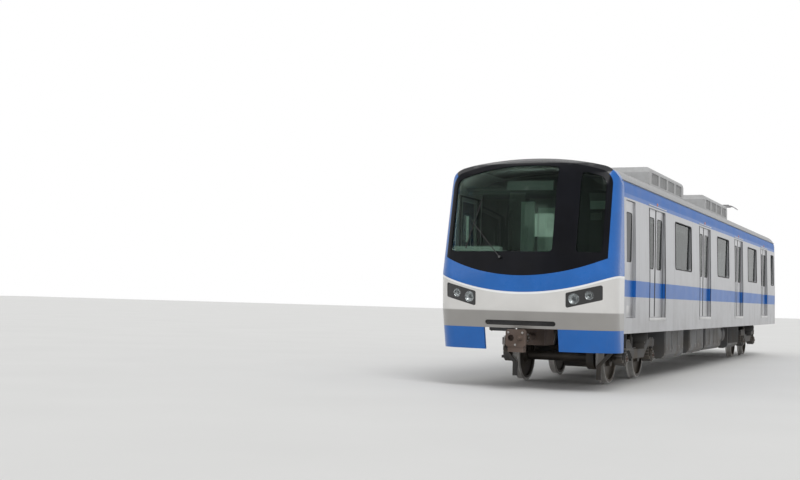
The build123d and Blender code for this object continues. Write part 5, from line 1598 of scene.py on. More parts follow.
@dataclass
class Nose:
    """The glazed mask, blue surround, lower panel, skirts, lamps, sign and wiper.

    Args:
        lens_table: Each lamp's distance from the middle and its radius.
        lamp_mid: The lamp row's middle across the front and in height, and lamp_slope its climb.
        inner_ring: The inner rings' share of the lamp's radius, depth and thickness.
        slot_depth: How far behind the skin the slot's backing lies, and slat_depth its slats.
        wiper_pivot: The wiper's spindle in the front view, and wiper_tip the arm's end.
        blade_half: Half the blade's length, and blade_way how it leans.
        bowl_profile: The reflector's depths and shares of the lamp's radius.
        projector_profile: The same for the projector in its middle.
    """

    lens_table: Pairs = ((0.860, 0.084), (1.090, 0.066))
    lamp_mid: Pair = (1.015, RAIL + 1.4713)
    lamp_slope: float = 0.25
    ring_wire: float = 0.0065
    inner_ring: Trio = (0.47, 0.020, 0.0045)
    cover_depth: float = 0.003
    slot_heights: Pair = (RAIL + 0.995, RAIL + 1.070)
    slot_half: float = 0.58
    slot_depth: float = 0.045
    slat_depth: float = 0.030
    wiper_pivot: Pair = (-0.33, RAIL + 2.06)
    wiper_tip: Pair = (-0.86, RAIL + 2.62)
    blade_half: float = 0.42
    blade_way: Pair = (0.28, 1.0)
    bowl_profile: Pairs = (
        (0.036, 0.0), (0.036, 0.30), (0.031, 0.55), (0.021, 0.78), (0.009, 0.93),
        (0.004, 0.97), (0.004, 0.99), (0.012, 0.99), (0.041, 0.62), (0.041, 0.0),
    )
    projector_profile: Pairs = (
        (0.035, 0.0), (0.035, 0.42), (0.022, 0.42), (0.016, 0.34), (0.012, 0.20), (0.0105, 0.0)
    )

    def build(self) -> None:
        """Dresses the nose and adds its fittings."""
        skins = (
            ("nose_mask", MASK_GLOSS, Slot.MASK),
            ("emergency_exit", MASK_GLOSS, Slot.MASK),
            ("nose_surround", SURROUND_PAINT, Slot.BLUE),
            ("front_skirts", BLUE_PAINT, Slot.BLUE),
            ("lower_panel", PANEL_PAINT, Slot.PANEL),
            ("front_glass", FRONT_GLASS, Slot.FRONT_GLASS),
        )
        smooth_copies(skins)
        dress({"headlamps": LAMP_BLACK, "destination_sign": BLANK_SIGN})
        self.skin = NoseSkin([node for node, _, _ in skins] + ["headlamps", "lamp_lenses"])
        self.lamps()
        self.vent()
        self.wiper()

    def lamps(self) -> None:
        """Reflector, dark projector, chrome rings and clear cover in each lamp well."""
        bowls, projectors, rings, covers = pieces(
            "lamp_bowls", "lamp_projectors", "lamp_rings", "lamp_covers"
        )
        back = (-1, 0, 0)
        around = circle(48)
        for distance, radius in self.lens_table:
            z = self.lamp_mid[1] + self.lamp_slope * (distance - self.lamp_mid[0])
            reach = radius + self.ring_wire
            lowest = min(self.skin.at(distance + reach * across, z + reach * up).x for across, up in around)
            front = Vector((lowest - self.ring_wire, distance, z))
            for piece, profile in ((bowls, self.bowl_profile), (projectors, self.projector_profile)):
                piece.turned(front, back, [(depth, share * radius) for depth, share in profile])
            for share, depth, thickness in ((1.0, 0.0, self.ring_wire), self.inner_ring):
                wide = share * radius
                loop = [front + Vector((-depth, wide * across, wide * up)) for across, up in around]
                rings.tube(loop, thickness, 8, closed=True)
            self.cover(covers, distance, z, radius - 0.001)
        bowls.mirrored().done(CHROME, Slot.LENS, sharp=60.0)
        projectors.mirrored().done(PROJECTOR, Slot.LENS, sharp=60.0)
        rings.mirrored().done(LAMP_RING, Slot.LAMP)
        cover = covers.mirrored().done(CLEAR_GLASS, Slot.LENS)
        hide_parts("lamp_lenses")

    def cover(self, piece: Piece, y: float, z: float, radius: float) -> None:
        """Adds a clear disc that follows the nose's curve over one lamp.

        Args:
            piece: The covers' piece.
            y: The lamp's place across the front view.
            z: Its height.
            radius: The disc's radius.
        """
        rings, sides = 4, 40
        sheets = []
        for depth in (0.0, self.cover_depth):
            push = Vector((-depth, 0, 0))
            middle = piece.bm.verts.new(self.skin.at(y, z) + push)
            grid = [
                [
                    piece.bm.verts.new(self.skin.at(y + wide * across, z + wide * up) + push)
                    for across, up in circle(sides)
                ]
                for wide in (radius * number / rings for number in range(1, rings + 1))
            ]
            sheets.append((middle, grid))
        for middle, grid in sheets:
            for step in range(sides):
                after = (step + 1) % sides
                piece.bm.faces.new((middle, grid[0][step], grid[0][after]))
                for inner, outer in zip(grid, grid[1:]):
                    piece.bm.faces.new((inner[step], outer[step], outer[after], inner[after]))
        piece.bridge([sheets[0][1][-1], sheets[1][1][-1]])

    def vent(self) -> None:
        """A dark slatted backing in the slot of the lower panel."""
        low, high = self.slot_heights
        reach = self.slot_half + 0.015
        spots = [self.skin.at(reach * (step / 6 - 1), high + 0.02) for step in range(13)]
        rows = [
            [Vector((spot.x - self.slot_depth, spot.y, level)) for level in (low - 0.01, high + 0.01)]
            for spot in spots
        ]
        Piece("slot_backing").ribbon(rows, Vector((-0.004, 0, 0))).done(RUBBER, Slot.LAMP)
        slats = Piece("slot_slats")
        for share in (0.25, 0.5, 0.75):
            level = low + share * (high - low)
            slats.tube([(spot.x - self.slat_depth, spot.y, level) for spot in spots], 0.005, 6)
        slats.done(LAMP_BLACK, Slot.LAMP)

    def wiper(self) -> None:
        """The driver's wiper: spindle cap, arm and blade, parked aslant over the screen."""
        pivot, tip = Vector(self.wiper_pivot), Vector(self.wiper_tip)
        base = self.skin.at(*pivot)
        normal = self.skin.normal(*pivot)
        arm = Piece("wiper_arm")
        arm.drum(base - normal * 0.004, base + normal * 0.050, 0.026, 0.020)
        shares = (0.0, 0.25, 0.5, 0.75, 1.0)
        path = [self.skin.at(*pivot.lerp(tip, share), 0.042 - 0.016 * share) for share in shares]
        arm.tube(path, 0.009, 8, flat=0.6)
        arm.done(LAMP_BLACK, Slot.LAMP)
        along = Vector(self.blade_way).normalized()
        middle = pivot.lerp(tip, 0.98)
        spots = [middle + along * (self.blade_half * (step / 4 - 1)) for step in range(9)]
        blade = Piece("wiper_blade")
        for lift, radius, sides in ((0.020, 0.008, 8), (0.009, 0.0045, 6)):
            blade.tube([self.skin.at(*spot, lift) for spot in spots], radius, sides)
        blade.done(RUBBER, Slot.BELLOWS)


@dataclass
class Cab:
    """The driver's room: partition, linings, desk with screens and controls, blind and seat.

    Args:
        desk_slope: How far the desk's top leans back, in degrees.
        screens: The screens' places across the desk, and controller the controller's.
        button_rows: How many rows of buttons there are, and button_places where they lie.
        pad_rise: How far a cushion point may move as it swells.
        cupboards: Each cupboard's middle across the car and its width.
        cupboard_doors: The middle of each of its doors over the floor, and the door's height.
        cabinet: The switch cabinet's middle across the car and over the floor.
        door_pane: The partition door's pane: middle across the car and in height, width, height.
        door_handle: Its handle: place across the car and over the floor.
        wall_rows: The start, end and foot of each lining panel on a side wall.
        door_rows: Each lining strip on a crew door: middle along the car and in height, its size.
        blind: The roller blind's place along the car, its two ends across it and its height.
        dash: The middle of the dash's padded edge, and dash_post the place of the post beside it.
    """

    desk_rear: float = 9.370
    desk_right: float = -1.250
    desk_left: float = 0.430
    desk_top: float = FLOOR + 0.740
    desk_slope: float = 13.0
    screens: tuple[float, ...] = (-0.78, -0.42, -0.06)
    controller: float = -0.86
    button_rows: int = 3
    button_places: tuple[float, ...] = (*(-0.60 + 0.05 * number for number in range(9)), 0.02, 0.08, 0.14)
    seat_x: float = 8.900
    seat_y: float = -0.430
    pan_top: float = FLOOR + 0.360
    pad_rise: float = 0.005
    partition_face: float = 8.330
    cupboards: Pairs = ((-1.02, 0.52), (0.95, 0.60))
    cupboard_depth: float = 0.17
    cupboard_doors: Pairs = ((1.30, 0.92), (0.45, 0.62))
    cabinet: Pair = (-0.470, 1.46)
    door_pane: tuple[float, float, float, float] = (-0.19, FLOOR + 1.545, 0.35, 0.40)
    door_handle: Pair = (-0.240, 1.0)
    wall_y: float = 1.360
    crew_door_y: float = 1.383
    cab_end: float = 9.344
    lining_top: float = RAIL + 3.14
    wall_rows: Trios = (
        (8.336, 8.500, FLOOR + 0.01), (9.262, 9.344, FLOOR + 0.01), (8.500, 9.262, FLOOR + 1.960)
    )
    door_rows: tuple[tuple[float, float, float, float], ...] = (
        (8.630, 2.110, 0.060, 1.800), (9.130, 2.110, 0.060, 1.800), (8.880, 1.637, 0.440, 0.855),
        (8.880, 2.965, 0.440, 0.090),
    )
    blind: tuple[float, float, float, float] = (9.60, -1.14, 0.42, RAIL + 3.20)
    dash: Trio = (9.775, -0.845, FLOOR + 1.055)
    dash_post: Pair = (9.70, -1.075)

    def build(self) -> None:
        """Dresses the cab and adds its fittings."""
        # The partition takes the near-black lining, painted shade of the unlit cab.
        dress({"cab_partition": CAB_SHADE_LINING, "partition_door": LINING, "driver_seat": DESK_PLASTIC})
        smooth_copies([("driver_desk", DESK_PLASTIC, Slot.DESK)])
        self.partition()
        self.partition_door()
        self.walls()
        self.desk()
        self.dashboard()
        self.cushions()

    def partition(self) -> None:
        """Cupboards and a switch cabinet on the partition, and a floor mat."""
        face, depth = self.partition_face, self.cupboard_depth
        cupboards = Piece("cab_cupboards")
        for y, width in self.cupboards:
            cupboards.block((face + depth / 2, y, FLOOR + 0.95), (depth, width, 1.70), 0.012)
            for rise, height in self.cupboard_doors:
                place = (face + depth + 0.004, y, FLOOR + rise)
                cupboards.block(place, (0.006, width - 0.06, height), 0.002)
        # The cupboards take the near-black lining, painted shade of the unlit cab.
        cupboards.done(CAB_SHADE_LINING, Slot.LINING)
        y, rise = self.cabinet
        cabinet = Piece("switch_cabinet")
        cabinet.block((face + 0.030, y, FLOOR + rise), (0.06, 0.24, 0.98), 0.008)
        cabinet.block((face + 0.062, y, FLOOR + rise), (0.006, 0.20, 0.92), 0.002)
        cabinet.block((face + 0.030, 0.78, FLOOR + 1.88), (0.05, 0.30, 0.14), 0.006)
        cabinet.done(LINING, Slot.LINING)
        mat = Piece("cab_mat").block((8.86, 0, FLOOR + 0.002), (0.98, 2.55, 0.004), 0.001)
        mat.done(FLOORING, Slot.DESK)

    def partition_door(self) -> None:
        """The partition door's trim, a frosted pane that glows with painted light for the lit saloon
        beyond, and handle.
        """
        body, face = "partition_door", self.partition_face
        trim = Piece("door_trim")
        trim.block((face + 0.004, -0.292, FLOOR + 0.95), (0.012, 0.014, 1.80), 0.002)
        trim.block((face + 0.004, 0.0, FLOOR + 1.835), (0.012, 0.57, 0.014), 0.002)
        trim.done(PALE_TRIM, Slot.LINING, body)
        y, z, width, height = self.door_pane
        outline = [(face + 0.001, *point) for point in rounded((y, z), width, height, 0.03)]
        # The frosted pane glows with painted light, for the saloon's light through it.
        Piece("partition_door_pane").prism(outline, (0.008, 0, 0)).done(FROSTED_PAINTED_GLOW, Slot.LINING, body)
        y, z = self.door_handle[0], FLOOR + self.door_handle[1]
        lever = Piece("partition_door_handle")
        lever.drum((face - 0.002, y + 0.005, z), (face + 0.05, y + 0.005, z), 0.012)
        lever.tube(
            [(face + 0.046, y, z), (face + 0.048, y + 0.08, z), (face + 0.046, y + 0.12, z - 0.002)], 0.009
        )
        lever.done(BARE_STEEL, Slot.STEEL, body)

    def walls(self) -> None:
        """Near-black lining, painted shade of the unlit cab, on the cab's side walls, crew doors and
        ceiling, and the ceiling lamp.
        """
        panels = Piece("cab_wall_lining")
        for start, end, low in self.wall_rows:
            centre = ((start + end) / 2, self.wall_y - 0.005, (low + self.lining_top) / 2)
            panels.block(centre, (end - start, 0.008, self.lining_top - low), 0.002)
        panels.mirrored().done(CAB_SHADE_LINING, Slot.LINING)
        for hand in Hand:
            body = f"crew_door_{hand.name.lower()}"
            leaf = Piece(body + "_lining")
            for x, z, length, height in self.door_rows:
                leaf.block((x, hand.value * (self.crew_door_y - 0.004), z), (length, 0.008, height), 0.002)
            leaf.done(CAB_SHADE_LINING, Slot.LINING, body)
        rows = [
            [
                Vector((x, y, roof_z(y) - CEILING_DEPTH - 0.014))
                for x in (self.partition_face + 0.005, self.cab_end)
            ]
            for y in (0.11 * number for number in range(-11, 12))
        ]
        Piece("cab_ceiling").ribbon(rows, Vector((0, 0, 0.008))).done(CAB_SHADE_LINING, Slot.LINING)
        Piece("cab_lamp").block(
            (9.17, -0.25, ROOF_CROWN - CEILING_DEPTH - 0.034), (0.26, 0.60, 0.022), 0.008
        ).done(CAB_LAMP, Slot.LENS)

    def desk(self) -> None:
        """A panel, screens with hoods, the controller and buttons on the desk."""
        rear, top = self.desk_rear, self.desk_top
        lean = Matrix.Rotation(math.radians(-self.desk_slope), 4, "Y")
        middle = (self.desk_left + self.desk_right) / 2
        panel = Piece("desk_panel")
        panel.block((rear + 0.15, middle, top + 0.041), (0.20, 1.30, 0.010), 0.003, lean)
        panel.done(DESK_PLASTIC, Slot.DESK)
        foot, head = Vector((rear + 0.260, 0, top + 0.060)), Vector((rear + 0.330, 0, top + 0.270))
        face = head - foot
        out = Vector((-face.z, 0, face.x)).normalized()
        upright = Matrix.Rotation(-math.atan2(face.z, face.x), 4, "Y")
        screens, hoods = pieces("desk_screens", "desk_screen_hoods")
        for y in self.screens:
            centre = (foot + head) / 2 + Vector((0, y, 0))
            hoods.block(centre + out * 0.010, (0.20, 0.33, 0.030), 0.008, upright)
            screens.block(centre + out * 0.0255, (0.165, 0.28, 0.003), 0.001, upright)
        hoods.done(DESK_PLASTIC, Slot.DESK)
        screens.done(SCREEN_GLOW, Slot.SIGN)
        lever = Piece("controller_lever")
        foot = Vector((rear + 0.10, self.controller, top + 0.03))
        lever.block(foot, (0.16, 0.09, 0.022), 0.006, lean)
        lever.drum(foot, foot + Vector((-0.02, 0, 0.11)), 0.010)
        lever.drum(foot + Vector((-0.02, -0.035, 0.115)), foot + Vector((-0.02, 0.035, 0.115)), 0.017)
        lever.done(BARE_STEEL, Slot.STEEL)
        buttons = [
            (rear + 0.11 + 0.03 * row, y, top + 0.040 + 0.007 * row)
            for row in range(self.button_rows) for y in self.button_places
        ]
        bolts("desk_buttons", buttons, (0, 0, 1), 0.009, 0.018, finish=AMBER, slot=Slot.LENS)

    def dashboard(self) -> None:
        """The roller blind over the screen, and the dash's padded edge with the post beside it."""
        x, right, left, z = self.blind
        blind = Piece("roller_blind")
        blind.drum((x, right, z), (x, left, z), 0.028)
        blind.block((x, (right + left) / 2, z - 0.05), (0.003, left - right - 0.06, 0.09), 0.001)
        # The blind takes the near-black lining, painted shade of the unlit cab.
        blind.done(CAB_SHADE_LINING, Slot.LINING)
        pad = Piece("dash_pad")
        pad.block(self.dash, (0.13, 0.80, 0.085), 0.020)
        pad.drum((*self.dash_post, FLOOR + 1.18), (*self.dash_post, FLOOR + 1.60), 0.024)
        pad.done(PALE_TRIM, Slot.DESK)

    def cushions(self) -> None:
        """The seat and back cushions, swollen by simulation, with piped seams."""
        x, y, top = self.seat_x + 0.05, self.seat_y, self.pan_top + 0.0003
        rear, back = self.seat_x - 0.221, top + 0.290
        pads = (
            ("seat_pad", (x, y, top + 0.045), (0.345, 0.445, 0.078)),
            ("back_pad", (rear + 0.042, y, back), (0.070, 0.445, 0.565)),
        )
        for name, centre, size in pads:
            pad = Piece(name).block(centre, size, 0.024).done(SEAT_CLOTH, Slot.SEAT, sharp=180.0)
            swell(pad, self.pad_rise)
            if name == "seat_pad":
                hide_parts("seat_cushions")
        seat = [(px, py, top + 0.066) for px, py in rounded((x, y), 0.349, 0.449, 0.055)]
        rest = [(rear + 0.064, py, pz) for py, pz in rounded((y, back), 0.449, 0.569, 0.055)]
        piping = Piece("seat_piping")
        for outline in (seat, rest):
            piping.tube(outline, 0.0035, 6, closed=True)
        piping.done(RUBBER, Slot.SEAT)


def swell(pad: bpy.types.Object, cap: float) -> None:
    """Blows a pad up by cloth pressure.

    Args:
        pad: The pad, a closed mesh.
        cap: The most that any point may move.
    """
    remesh = pad.modifiers.new("remesh", "REMESH")
    remesh.mode = "VOXEL"
    remesh.voxel_size = 0.006
    remesh.use_smooth_shade = True
    plain(pad)
    rest = [vert.co.copy() for vert in pad.data.vertices]
    cloth = pad.modifiers.new("cloth", "CLOTH")
    cloth.settings.use_pressure = True
    cloth.settings.uniform_pressure_force = 4.0
    cloth.settings.effector_weights.gravity = 0.0
    cloth.point_cache.frame_start = 1
    cloth.point_cache.frame_end = 20
    for number in range(1, 21):
        bpy.context.scene.frame_set(number)
    plain(pad)
    bpy.context.scene.frame_set(1)
    for vert, start in zip(pad.data.vertices, rest):
        move = vert.co - start
        if move.length > cap:
            vert.co = start + move.normalized() * cap
    finer = pad.modifiers.new("finer", "SUBSURF")
    finer.levels = finer.render_levels = 1
    plain(pad)


@dataclass
class Saloon:
    """The passengers' room: benches, poles with clamps, and draught screens at the doorways.

    Args:
        pole_y: The poles' distance from the middle, and pole_offset from each doorway's middle.
        bench_half: Half the length of a bench.
        screen: The screens' middle over the floor and their height.
    """

    pole_y: float = 0.9134
    pole_offset: float = 0.820
    rail_height: float = FLOOR + 1.850
    wall_y: float = 1.348
    bench_half: float = 1.590
    screen: Pair = (0.95, 1.0)

    def build(self) -> None:
        """Dresses the room and adds its fittings."""
        smooth_copies([("benches", BENCH_PLASTIC, Slot.BENCH), ("grab_poles", BARE_STEEL, Slot.STEEL)])
        clamps, feet = pieces("pole_clamps", "pole_feet")
        y, z = self.pole_y, self.rail_height
        for x in (x + way * self.pole_offset for x in DOORWAYS for way in (-1, 1)):
            clamps.drum((x, y, z - 0.035), (x, y, z + 0.035), 0.022)
            clamps.drum((x - 0.035, y, z), (x + 0.035, y, z), 0.022)
            feet.drum((x, y, FLOOR + 0.003), (x, y, FLOOR + 0.013), 0.045, 0.038)
        for piece in (clamps, feet):
            piece.mirrored().done(BARE_STEEL, Slot.STEEL)
        self.screens()

    def screens(self) -> None:
        """Glass screens with a frame at each end of each bench."""
        panes, frames = pieces("draught_panes", "draught_frames")
        rise, height = self.screen
        centre = ((self.pole_y + self.wall_y) / 2, FLOOR + rise)
        width = self.wall_y - self.pole_y
        for edge in (x + way * (self.bench_half + 0.016) for x in WINDOWS for way in (-1, 1)):
            outline = [(edge - 0.005, y, z) for y, z in rounded(centre, width - 0.02, height - 0.02, 0.06)]
            panes.prism(outline, (0.010, 0, 0))
            outline = [(edge, y, z) for y, z in rounded(centre, width, height, 0.07)]
            frames.tube(outline, 0.011, 8, closed=True)
        panes.mirrored().done(CLEAR_GLASS, Slot.SIDE_GLASS)
        frames.mirrored().done(BARE_STEEL, Slot.STEEL)


@dataclass
class RunningGear:
    """The bogies: frames, axleboxes with rubber springs, air springs, wheels and pipework.

    Args:
        frame_y: The beams' distance from the middle.
        wing_pitch: The springs' distance from the axle, and wing_top the height of their seats.
        rings: The number of steel rings in a spring, and ring_depth their depth.
        layer_radius: The radius of the rubber layers between them.
        bolt_circle: The radius of the circle of bolts round an axlebox cover.
        pipe_path: The brake pipes' distances from the bogie's middle and heights over the axle.
        clip_places: The places of their clips.
    """

    frame_y: float = 1.000
    box_width: float = 0.170
    wing_pitch: float = 0.170
    wing_top: float = AXLE_HEIGHT - 0.020
    spring_top: float = AXLE_HEIGHT + 0.170
    rings: int = 4
    ring_depth: float = 0.026
    layer_radius: float = 0.064
    cover_bolts: int = 8
    bolt_circle: float = 0.080
    pipe_path: Pairs = (
        (-1.27, 0.300), (-0.80, 0.300), (-0.66, 0.300), (-0.46, 0.150), (-0.165, 0.150)
    )
    clip_places: tuple[float, ...] = (-1.16, -0.86, 0.86, 1.16)

    def build(self) -> None:
        """Dresses both bogies."""
        for end, centre in BOGIES.items():
            body = "bogie_" + end
            axles = (centre - WHEEL_BASE / 2, centre + WHEEL_BASE / 2)
            dress({"bogie_frame_" + end: BOGIE_PAINT, "axleboxes_" + end: BOGIE_PAINT})
            smooth_copies([("air_springs_" + end, RUBBER, Slot.BELLOWS)])
            for position, axle in zip("ab", reversed(axles)):
                name = f"wheelset_{end}_{position}"
                finish = WheelFinish(
                    name + "_steel", (0.055, 0.048, 0.042), roughness=0.42, metallic=0.55, dust=0.55,
                    axle_x=axle, mottle=0.25,
                )
                smooth_copies([(name, finish, Slot.WHEEL)], 25.0)
            self.springs(body, axles)
            self.covers(body, axles)
            self.pipes(body, centre)

    def springs(self, body: str, axles: Sequence[float]) -> None:
        """Adds the rubber layers between the primary springs' rings.

        Args:
            body: The bogie.
            axles: Its axles' places along the car.
        """
        layers = Piece(body + "_rubber_layers")
        pitch = (self.spring_top - self.wing_top - self.ring_depth) / (self.rings - 1)
        for x in (axle + way * self.wing_pitch for axle in axles for way in (-1, 1)):
            for number in range(self.rings - 1):
                low = self.wing_top + self.ring_depth + pitch * number + 0.001
                high = low + pitch - self.ring_depth - 0.002
                layers.drum((x, self.frame_y, low), (x, self.frame_y, high), self.layer_radius, sides=28)
        layers.mirrored().done(RUBBER, Slot.BELLOWS, body)

    def covers(self, body: str, axles: Sequence[float]) -> None:
        """Adds the bolts round each axlebox cover and the cap in its middle.

        Args:
            body: The bogie.
            axles: Its axles' places along the car.
        """
        face, height = self.frame_y + self.box_width / 2 + 0.018, AXLE_HEIGHT
        points, normals = [], []
        for hand in Hand:
            for axle in axles:
                for number in range(self.cover_bolts):
                    turn = 2 * math.pi * (number + 0.5) / self.cover_bolts
                    across, up = self.bolt_circle * math.cos(turn), self.bolt_circle * math.sin(turn)
                    points.append((axle + across, hand.value * (face + 0.005), height + up))
                    normals.append((0, hand.value, 0))
        bolts(body + "_cover_bolts", points, normals, 0.011, 0.016, body)
        caps = Piece(body + "_axle_caps")
        for axle in axles:
            caps.drum((axle, face - 0.001, height), (axle, face + 0.014, height), 0.052, 0.044)
            caps.drum((axle, face + 0.013, height), (axle, face + 0.030, height), 0.018, 0.015, 12)
        caps.mirrored().done(CAST_IRON, Slot.BOGIE, body)

    def pipes(self, body: str, centre: float) -> None:
        """Adds the brake pipes along the top of each beam, with clips.

        Args:
            body: The bogie.
            centre: Its middle along the car.
        """
        runs, clips = pieces(body + "_brake_pipes", body + "_pipe_clips")
        y = self.frame_y + 0.052
        for way in (-1, 1):
            path = [(centre + way * x, y, AXLE_HEIGHT + rise + 0.016) for x, rise in self.pipe_path]
            runs.tube(path, 0.008, 8)
        for x in self.clip_places:
            clips.block((centre + x, y - 0.012, AXLE_HEIGHT + 0.312), (0.026, 0.044, 0.026), 0.004)
        runs.mirrored().done(BOLT_STEEL, Slot.STEEL, body)
        clips.mirrored().done(RUBBER, Slot.BOGIE, body)


@dataclass
class Underfloor:
    """The equipment cases, tanks, pipe runs, junction boxes and couplings.

    Args:
        cases: Each case's middle along the car, length, width, depth, side offset and lids a side.
        boxes: Each junction box's place along and across the car, length, width and depth.
        pipe_ends: Where the main pipes end along the car, and pipe_places where they lie across it.
        pipe_clips: How many clips they have, the first one's distance from the end and the pitch.
        tray: The cable tray's place across the car, its width and its depth.
        air_pipes: Each air pipe's place across the car and radius, and air_path its points along it.
        duct: The cable duct's middle along and across the car, length, width and depth.
        collar_bolts: How many bolts the coupler's collar has on each side, on collar_circle.
        face_ports: The places of the ports on the coupler's face.
        handle: The points of the uncoupling handle, with heights over the coupler's middle.
    """

    case_top: float = FLOOR_BOTTOM - 0.0703
    case_chamfer: float = 0.070
    cases: Rows = (
        (3.700, 1.900, 2.300, 0.600, 0.0, 3), (1.500, 1.700, 1.150, 0.560, 0.620, 2),
        (1.500, 1.700, 1.050, 0.520, -0.660, 0), (-0.900, 2.200, 2.300, 0.560, 0.0, 4),
        (-4.300, 1.700, 2.200, 0.600, 0.0, 0),
    )
    boxes: Rows = (
        (8.46, 0.78, 0.34, 0.46, 0.15), (8.50, -0.84, 0.42, 0.34, 0.13),
        (-9.10, 0.86, 0.46, 0.34, 0.14), (-9.20, -0.82, 0.30, 0.42, 0.16),
    )
    pipe_ends: Pair = (-9.55, 9.25)
    pipe_places: Pair = (0.36, 0.44)
    pipe_clips: tuple[int, float, float] = (21, 0.25, 0.90)
    tray: Trio = (-0.50, 0.160, 0.050)
    air_pipes: Pairs = ((1.235, 0.016), (1.285, 0.012))
    air_path: tuple[float, ...] = (-5.6, -2.0, 1.6, 4.9)
    duct: tuple[float, ...] = (-0.35, -1.265, 10.4, 0.120, 0.062)
    coupler_height: float = RAIL + 0.800
    collar_x: float = 9.8475
    face_x: float = 10.315
    collar_bolts: int = 10
    collar_circle: float = 0.084
    face_ports: Pairs = ((0.115, 0.085), (-0.115, 0.085), (0.0, -0.105))
    handle: Trios = (
        (10.16, -0.095, 0.02), (10.15, -0.215, 0.03), (10.15, -0.235, -0.02), (10.15, -0.240, -0.14)
    )

    def build(self) -> None:
        """Dresses what hangs under the floor and at the ends."""
        dress({"underfloor_cases": CASE_PAINT})
        smooth_copies([
            ("air_tanks", CASE_PAINT, Slot.CASE),
            ("front_coupler", CAST_IRON, Slot.COUPLER),
            ("rear_drawbar", CAST_IRON, Slot.COUPLER),
        ])
        self.latches()
        self.covers()
        self.junctions()
        self.pipes()
        self.main_pipes()
        self.coupler()

    def latches(self) -> None:
        """Latches and hinges on the case lids."""
        parts = Piece("case_latches")
        for middle, length, width, _, offset, lids in self.cases:
            pitch = (length - 0.066) / max(lids, 1)
            reach = width / 2 + 0.016
            spots = [
                (middle + pitch * (number - (lids - 1) / 2 + way), offset + hand.value * reach)
                for number in range(lids)
                for hand in Hand if hand.value * offset >= 0
                for way in (-0.3, 0.3)
            ]
            for x, y in spots:
                parts.block((x, y, self.case_top - 0.40), (0.035, 0.014, 0.070), 0.003)
                parts.block((x, y, self.case_top - 0.065), (0.060, 0.012, 0.026), 0.003)
        parts.done(BOLT_STEEL, Slot.STEEL)

    def covers(self) -> None:
        """Two bolted covers on the bottom of each case."""
        plates = Piece("case_bottom_covers")
        points = []
        for middle, length, width, depth, y, _ in self.cases:
            low = self.case_top - depth
            long, wide = length / 2 - 0.12, width - 2 * self.case_chamfer - 0.16
            reach, half = (long - 0.05) / 2, (wide - 0.05) / 2
            for x in (middle + way * (long / 2 + 0.02) for way in (-1, 1)):
                plates.block((x, y, low - 0.002), (long, wide, 0.006), 0.0015)
                for share in (-1.0, -0.5, 0.0, 0.5, 1.0):
                    points += [(x + share * reach, y + side * half, low - 0.006) for side in (-1, 1)]
                    if abs(share) < 1.0:
                        points += [(x + side * reach, y + share * half, low - 0.006) for side in (-1, 1)]
        plates.done(CASE_PAINT, Slot.CASE)
        bolts("case_cover_bolts", points, (0, 0, -1), 0.011, 0.012)

    def junctions(self) -> None:
        """Junction boxes under the floor past the bogies, with bolted lids and cable glands."""
        boxes, glands = pieces("junction_boxes", "junction_glands")
        points = []
        for x, y, length, width, depth in self.boxes:
            low = FLOOR_BOTTOM - depth
            boxes.block((x, y, FLOOR_BOTTOM - depth / 2), (length, width, depth), 0.010)
            boxes.block((x, y, low - 0.003), (length - 0.03, width - 0.03, 0.010), 0.003)
            points += [
                (x + along * (length / 2 - 0.035), y + across * (width / 2 - 0.035), low - 0.009)
                for along in (-1, 1) for across in (-1, 1)
            ]
            inward = -math.copysign(1, y)
            face = y + inward * width / 2
            bend = (
                (0.025, low + 0.06), (0.055, low + 0.065), (0.075, low + 0.085),
                (0.080, FLOOR_BOTTOM + 0.004),
            )
            for place in (x + 0.09 * number for number in (-1, 0, 1)):
                ends = [(place, face + inward * out, low + 0.06) for out in (-0.005, 0.030)]
                glands.drum(*ends, 0.018, sides=12)
                glands.tube([(place, face + inward * out, z) for out, z in bend], 0.011)
        boxes.done(CASE_PAINT, Slot.CASE)
        glands.done(RUBBER, Slot.CASE)
        bolts("junction_bolts", points, (0, 0, -1), 0.010, 0.012)

    def main_pipes(self) -> None:
        """Brake and reservoir pipes from end to end with clips and end cocks, and a cable tray."""
        runs, clips, cocks, tray = pieces("main_pipes", "main_pipe_clips", "end_cocks", "cable_tray")
        start, end = self.pipe_ends
        z = FLOOR_BOTTOM - 0.024
        for y in self.pipe_places:
            runs.tube([(x, y, z) for x in (start, start / 2, end / 2, end)], 0.017, 12)
            for x, way in ((start, -1), (end, 1)):
                cocks.block((x + way * 0.030, y, z), (0.085, 0.056, 0.056), 0.008)
                cocks.drum((x + way * 0.030, y, z), (x + way * 0.030, y, z - 0.050), 0.014, sides=12)
                cocks.block((x + way * 0.060, y, z - 0.050), (0.090, 0.018, 0.008), 0.002)
        count, first, pitch = self.pipe_clips
        for number in range(count):
            place = (start + first + pitch * number, sum(self.pipe_places) / 2, z + 0.002)
            clips.block(place, (0.030, 0.150, 0.044), 0.004)
        y, width, depth = self.tray
        centre = ((start + end) / 2, y, FLOOR_BOTTOM - depth / 2)
        tray.block(centre, (end - start - 0.6, width, depth), 0.006)
        runs.done(BOLT_STEEL, Slot.STEEL)
        clips.done(RUBBER, Slot.CASE)
        cocks.done(CAST_IRON, Slot.STEEL)
        tray.done(CASE_PAINT, Slot.CASE)

    def pipes(self) -> None:
        """Air pipes and a cable duct along the floor's edges."""
        runs = Piece("air_pipes")
        for y, radius in self.air_pipes:
            runs.tube([(x, y, FLOOR_BOTTOM - 0.022) for x in self.air_path], radius, 12)
        runs.done(BOLT_STEEL, Slot.STEEL)
        x, y, length, width, depth = self.duct
        Piece("cable_ducts").block((x, y, FLOOR_BOTTOM - 0.032), (length, width, depth), 0.004).done(
            CASE_PAINT, Slot.CASE
        )

